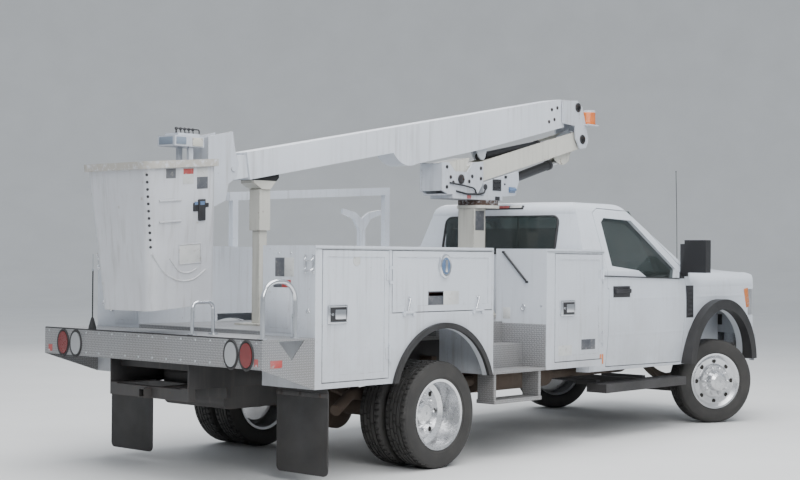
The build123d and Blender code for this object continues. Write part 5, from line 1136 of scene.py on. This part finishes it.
finish_piece(bm, "basket_latch_badge", "platform", lock_blue)

# Upper control box: levers, knobs and gauges
# A fibreglass lever box over the basket's rim has a row of black-knobbed levers, a guard hoop, a bare
# blue-grey end panel and a cream hose cover.
CONSOLE_TOP = 2430.0
bm = bmesh.new()
for number in range(5):
    x = -1580 + 38 * number
    bar(bm, (x, -34, CONSOLE_TOP - 4), (x - 6, -34, CONSOLE_TOP + 26), 4, 12)
    turned(bm, ((0, 0), (2, 9), (10, 13), (18, 11), (23, 0)), (x - 6, -34, CONSOLE_TOP + 22), (0, 0, 1), 20)
hoop = ((-1610, -60, 2428), (-1610, -60, 2462), (-1396, -60, 2462), (-1396, -60, 2428))
tube(bm, hoop, 5.0, 10, 18.0)
turned(bm, ((0, 20), (10, 20), (14, 14), (14, 0)), (-1440, 30, CONSOLE_TOP), (0, 0, 1), 24)
finish_piece(bm, "console_levers", "platform", black_plastic)
bm = bmesh.new()
slab(bm, (-1651, 0, 2374), (4, 150, 54), 1.5)
slab(bm, (-1590, -96, 2374), (90, 4, 52), 1.5)
panel_grey = coat_of_paint("blue_grey_panel", (0.22, 0.27, 0.34), rough=0.45)
finish_piece(bm, "console_end_panels", "platform", panel_grey)
bm = bmesh.new()
slab(bm, (-1440, -96, 2370), (96, 6, 60), 2.5)
for x in (-1480, -1400):
    for z in (2348, 2392):
        turned(bm, ((0, 5), (2, 4.5), (3, 0)), (x, -99, z), (0, -1, 0), 12)
finish_piece(bm, "console_cover", "platform", cream_paint)

# Turret and boom fittings: pin caps, bolts, hoses, control panel and beacon
# Bolt heads hold the boom pins' keeper plates. The lower control box has a dark switch panel with knobs,
# two rubber hoses fixed at both ends and a blue coupling. The amber beacon is a ribbed moulded dome.


def bolt_head(bm, place, way, across=18.0):
    """A washer and six-sided head."""
    place, way = Vector(place), Vector(way)
    bar(bm, place - way, place + way * 2.5, across * 0.85, 20, across * 0.8)
    bar(bm, place + way * 2, place + way * 9, across * 0.5, 6, across * 0.47)


TURRET_BOLTS = (
    # x, z
    (1350, 2245), (1384, 2201), (1640, 2264), (1600, 2218), (1300, 2160), (1300, 2330), (1760, 2340),
    (1760, 2250),
)
BOOM_BOLTS = ((2839, 2939), (2796, 2823), (2880, 2850), (2925, 2962))
PIN_X, PIN_Z = 1486, 2233
CAP_BOLT_RING = 26
for side_name, side in SIDE_SIGNS:
    bm = bmesh.new()
    for x, z in TURRET_BOLTS:
        bolt_head(bm, (x, side * 125, z), (0, side, 0), 20)
    turned(bm, ((0, 42), (4, 42), (6, 38), (6, 0)), (PIN_X, side * 129, PIN_Z), (0, side, 0), 32)
    for turn in range(3):
        angle = 2 * pi * turn / 3
        x, z = PIN_X + CAP_BOLT_RING * cos(angle), PIN_Z + CAP_BOLT_RING * sin(angle)
        bolt_head(bm, (x, side * 135, z), (0, side, 0), 11)
    finish_piece(bm, "turret_bolts_" + side_name, "turret", black_enamel)
    bm = bmesh.new()
    for x, z in BOOM_BOLTS:
        bolt_head(bm, (x, side * 98, z), (0, side, 0), 20)
    finish_piece(bm, "boom_bolts_" + side_name, "upper_boom", black_enamel)
    bm = bmesh.new()
    for pin_x, pin_z in ((3225, 2987), (3300, 2690)):
        turned(bm, ((0, 44), (5, 44), (8, 40), (8, 0)), (pin_x, side * 122, pin_z), (0, side, 0), 32)
        for turn in range(3):
            angle = 2 * pi * (turn + 0.25) / 3
            x, z = pin_x + CAP_BOLT_RING * cos(angle), pin_z + CAP_BOLT_RING * sin(angle)
            bolt_head(bm, (x, side * 129, z), (0, side, 0), 11)
    finish_piece(bm, "elbow_bolts_" + side_name, "elbow", black_enamel)
bm = bmesh.new()
slab(bm, (1990, -123, 2202), (123, 6, 102), 3)
slab(bm, (2112, -126, 2279), (26, 14, 26), 3)
turned(bm, ((0, 26), (5, 26), (8, 22), (8, 0)), (1826, -121, 2180), (0, -1, 0), 32)
for x, z in ((1958, 2226), (1990, 2226), (2022, 2226), (1958, 2180), (2022, 2180)):
    turned(bm, ((0, 9), (8, 8), (11, 0)), (x, -126, z), (0, -1, 0), 16)
turned(bm, ((0, 9), (5, 8), (5, 0)), (2103, -122, 2214), (0, -1, 0), 16)
slab(bm, (1991, -129, 2084), (60, 10, 34), 3)
low_hose = (
    (1830, -116, 2160), (1800, -134, 2126), (1730, -136, 2112), (1560, -134, 2108), (1420, -130, 2128),
)
tube(bm, low_hose, 8.0, 12, 26.0)
high_hose = ((1700, -128, 2106), (1660, -140, 2160), (1500, -142, 2180), (1330, -134, 2196))
tube(bm, high_hose, 7.0, 12, 40.0)
finish_piece(bm, "lower_control_panel", "turret", black_plastic)
bm = bmesh.new()
slab(bm, (2206, -124, 2167), (92, 12, 50), 5)
bar(bm, (2160, -130, 2160), (2250, -130, 2172), 15, 20, 15)
finish_piece(bm, "hose_coupling", "turret", lock_blue)
bm = bmesh.new()
slab(bm, (1598, -126, 2084), (54, 4, 30), 1.5)
finish_piece(bm, "turret_tag", "turret", PLATE_SHEETS["red"])
bm = bmesh.new()
BEACON_FOOT = (3425, -95, 2836)
BEACON_RIBS = 9
dome = [(0, 74), (8, 78), (14, 78), (16, 74)]
for number in range(BEACON_RIBS):
    dome += [(20 + 11 * number, 73.5), (25 + 11 * number, 75.5)]
turned(bm, dome + [(122, 70), (134, 50), (140, 0)], BEACON_FOOT, (0, 0, 1), 64)
beacon_amber, tree, shader = new_material("beacon_amber")
point, x, y, z = here(tree)
fading = noise(tree, point, 20.0, 4.0)
feed(tree, shader, "Base Color", blend(tree, fading, (0.62, 0.11, 0.01), (0.72, 0.2, 0.02)))
feed(tree, shader, "Roughness", between(tree, noise(tree, point, 60.0), 0.2, 0.8, 0.12, 0.3))
shader.inputs["Coat Weight"].default_value = 0.6
finish_piece(bm, "beacon_lens", "elbow", beacon_amber)

# Dark sheet on the pedestal and mud flap bars
# A dark sheet covers the top of the pedestal's right side, just under the turret, and each mud flap is
# clamped by a steel bar with three bolts.
FLAP_REAR_X = -1200.0
FLAP_BAR_Z = 612
bm = bmesh.new()
slab(bm, (1792, -89, 1884), (120, 4, 170), 2)
finish_piece(bm, "pedestal_dark_sheet", "chassis", PLATE_SHEETS["dark"])
for side_name, side in SIDE_SIGNS:
    bm = bmesh.new()
    slab(bm, (FLAP_REAR_X - 3, side * 935, FLAP_BAR_Z), (6, 496, 30), 2)
    for y in (732, 919, 1108):
        bolt_head(bm, (FLAP_REAR_X - 6, side * y, FLAP_BAR_Z), (-1, 0, 0), 18)
    finish_piece(bm, "flap_bar_" + side_name, "chassis", black_enamel)

# Floor, light and camera
# A pale seamless floor sweeps up all round the truck, under three broad soft lights and a pale sky.
floor_bm = bmesh.new()
FLOOR_SWEEP = ((0.0, 0.0), (34.0, 0.0), (40.0, 1.2), (44.0, 4.8), (46.0, 10.0), (46.5, 22.0))
line = [floor_bm.verts.new((radius, 0.0, height)) for radius, height in FLOOR_SWEEP]
line += [floor_bm.edges.new(pair) for pair in zip(line, line[1:])]
bmesh.ops.spin(
    floor_bm, geom=line, cent=(0, 0, 0), axis=(0, 0, 1), angle=2 * pi, steps=72, use_merge=True,
)
bmesh.ops.recalc_face_normals(floor_bm, faces=floor_bm.faces[:])
floor_mesh = bpy.data.meshes.new("studio_floor")
floor_bm.to_mesh(floor_mesh)
floor_bm.free()
for face in floor_mesh.polygons:
    face.use_smooth = True
studio_floor = bpy.data.objects.new("studio_floor", floor_mesh)
bpy.context.scene.collection.objects.link(studio_floor)
floor_material, tree, shader = new_material("studio_floor")
point, x, y, z = here(tree)
shade = clouds(tree, point, 0.8, 6.0, 0.3, 0.7)
feed(tree, shader, "Base Color", blend(tree, shade, (0.72, 0.72, 0.71), (0.76, 0.76, 0.75)))
shader.inputs["Roughness"].default_value = 0.85
floor_mesh.materials.append(floor_material)

LIGHTS = (
    # name, place, size, power, aim
    ("overhead", (-1.0, -2.0, 9.5), 11.0, 1350.0, (0.0, 0.0, 1.0)),
    ("key", (-8.0, -11.0, 7.5), 7.0, 950.0, (0.0, 0.0, 1.2)),
    ("far_fill", (7.0, 9.0, 6.0), 7.0, 300.0, (0.0, 0.0, 1.2)),
)
for name, place, size, power, aim in LIGHTS:
    lamp = bpy.data.lights.new(name, "AREA")
    lamp.shape = "DISK"
    lamp.size = size
    lamp.energy = power
    lamp_object = bpy.data.objects.new(name, lamp)
    lamp_object.location = place
    lamp_object.rotation_euler = (Vector(aim) - Vector(place)).to_track_quat("-Z", "Y").to_euler()
    bpy.context.scene.collection.objects.link(lamp_object)
world = bpy.data.worlds.new("soft_sky")
world.use_nodes = True
world.node_tree.nodes["Background"].inputs[0].default_value = (0.86, 0.92, 1.0, 1.0)
world.node_tree.nodes["Background"].inputs[1].default_value = 0.8
bpy.context.scene.world = world

CAMERA_PLACE = (-10.0173, -8.30887, 1.55895)
CAMERA_YAW = 0.729561776
CAMERA_PITCH = 0.0114142994
CAMERA_ROLL = 0.00750919119
CAMERA_LENS = 67.348
level_part = cos(CAMERA_PITCH)
ahead = Vector((cos(CAMERA_YAW) * level_part, sin(CAMERA_YAW) * level_part, sin(CAMERA_PITCH)))
level = Vector((sin(CAMERA_YAW), -cos(CAMERA_YAW), 0.0))
upward = level.cross(ahead)
right_hand = level * cos(CAMERA_ROLL) + upward * sin(CAMERA_ROLL)
top_hand = upward * cos(CAMERA_ROLL) - level * sin(CAMERA_ROLL)
camera = bpy.data.objects.new("camera", bpy.data.cameras.new("camera"))
camera.data.lens = CAMERA_LENS
camera.data.sensor_width = 36.0
camera.data.clip_end = 200.0
facing_to = Matrix((right_hand, top_hand, -ahead)).transposed().to_4x4()
camera.matrix_world = Matrix.Translation(CAMERA_PLACE) @ facing_to
bpy.context.scene.collection.objects.link(camera)
bpy.context.scene.camera = camera
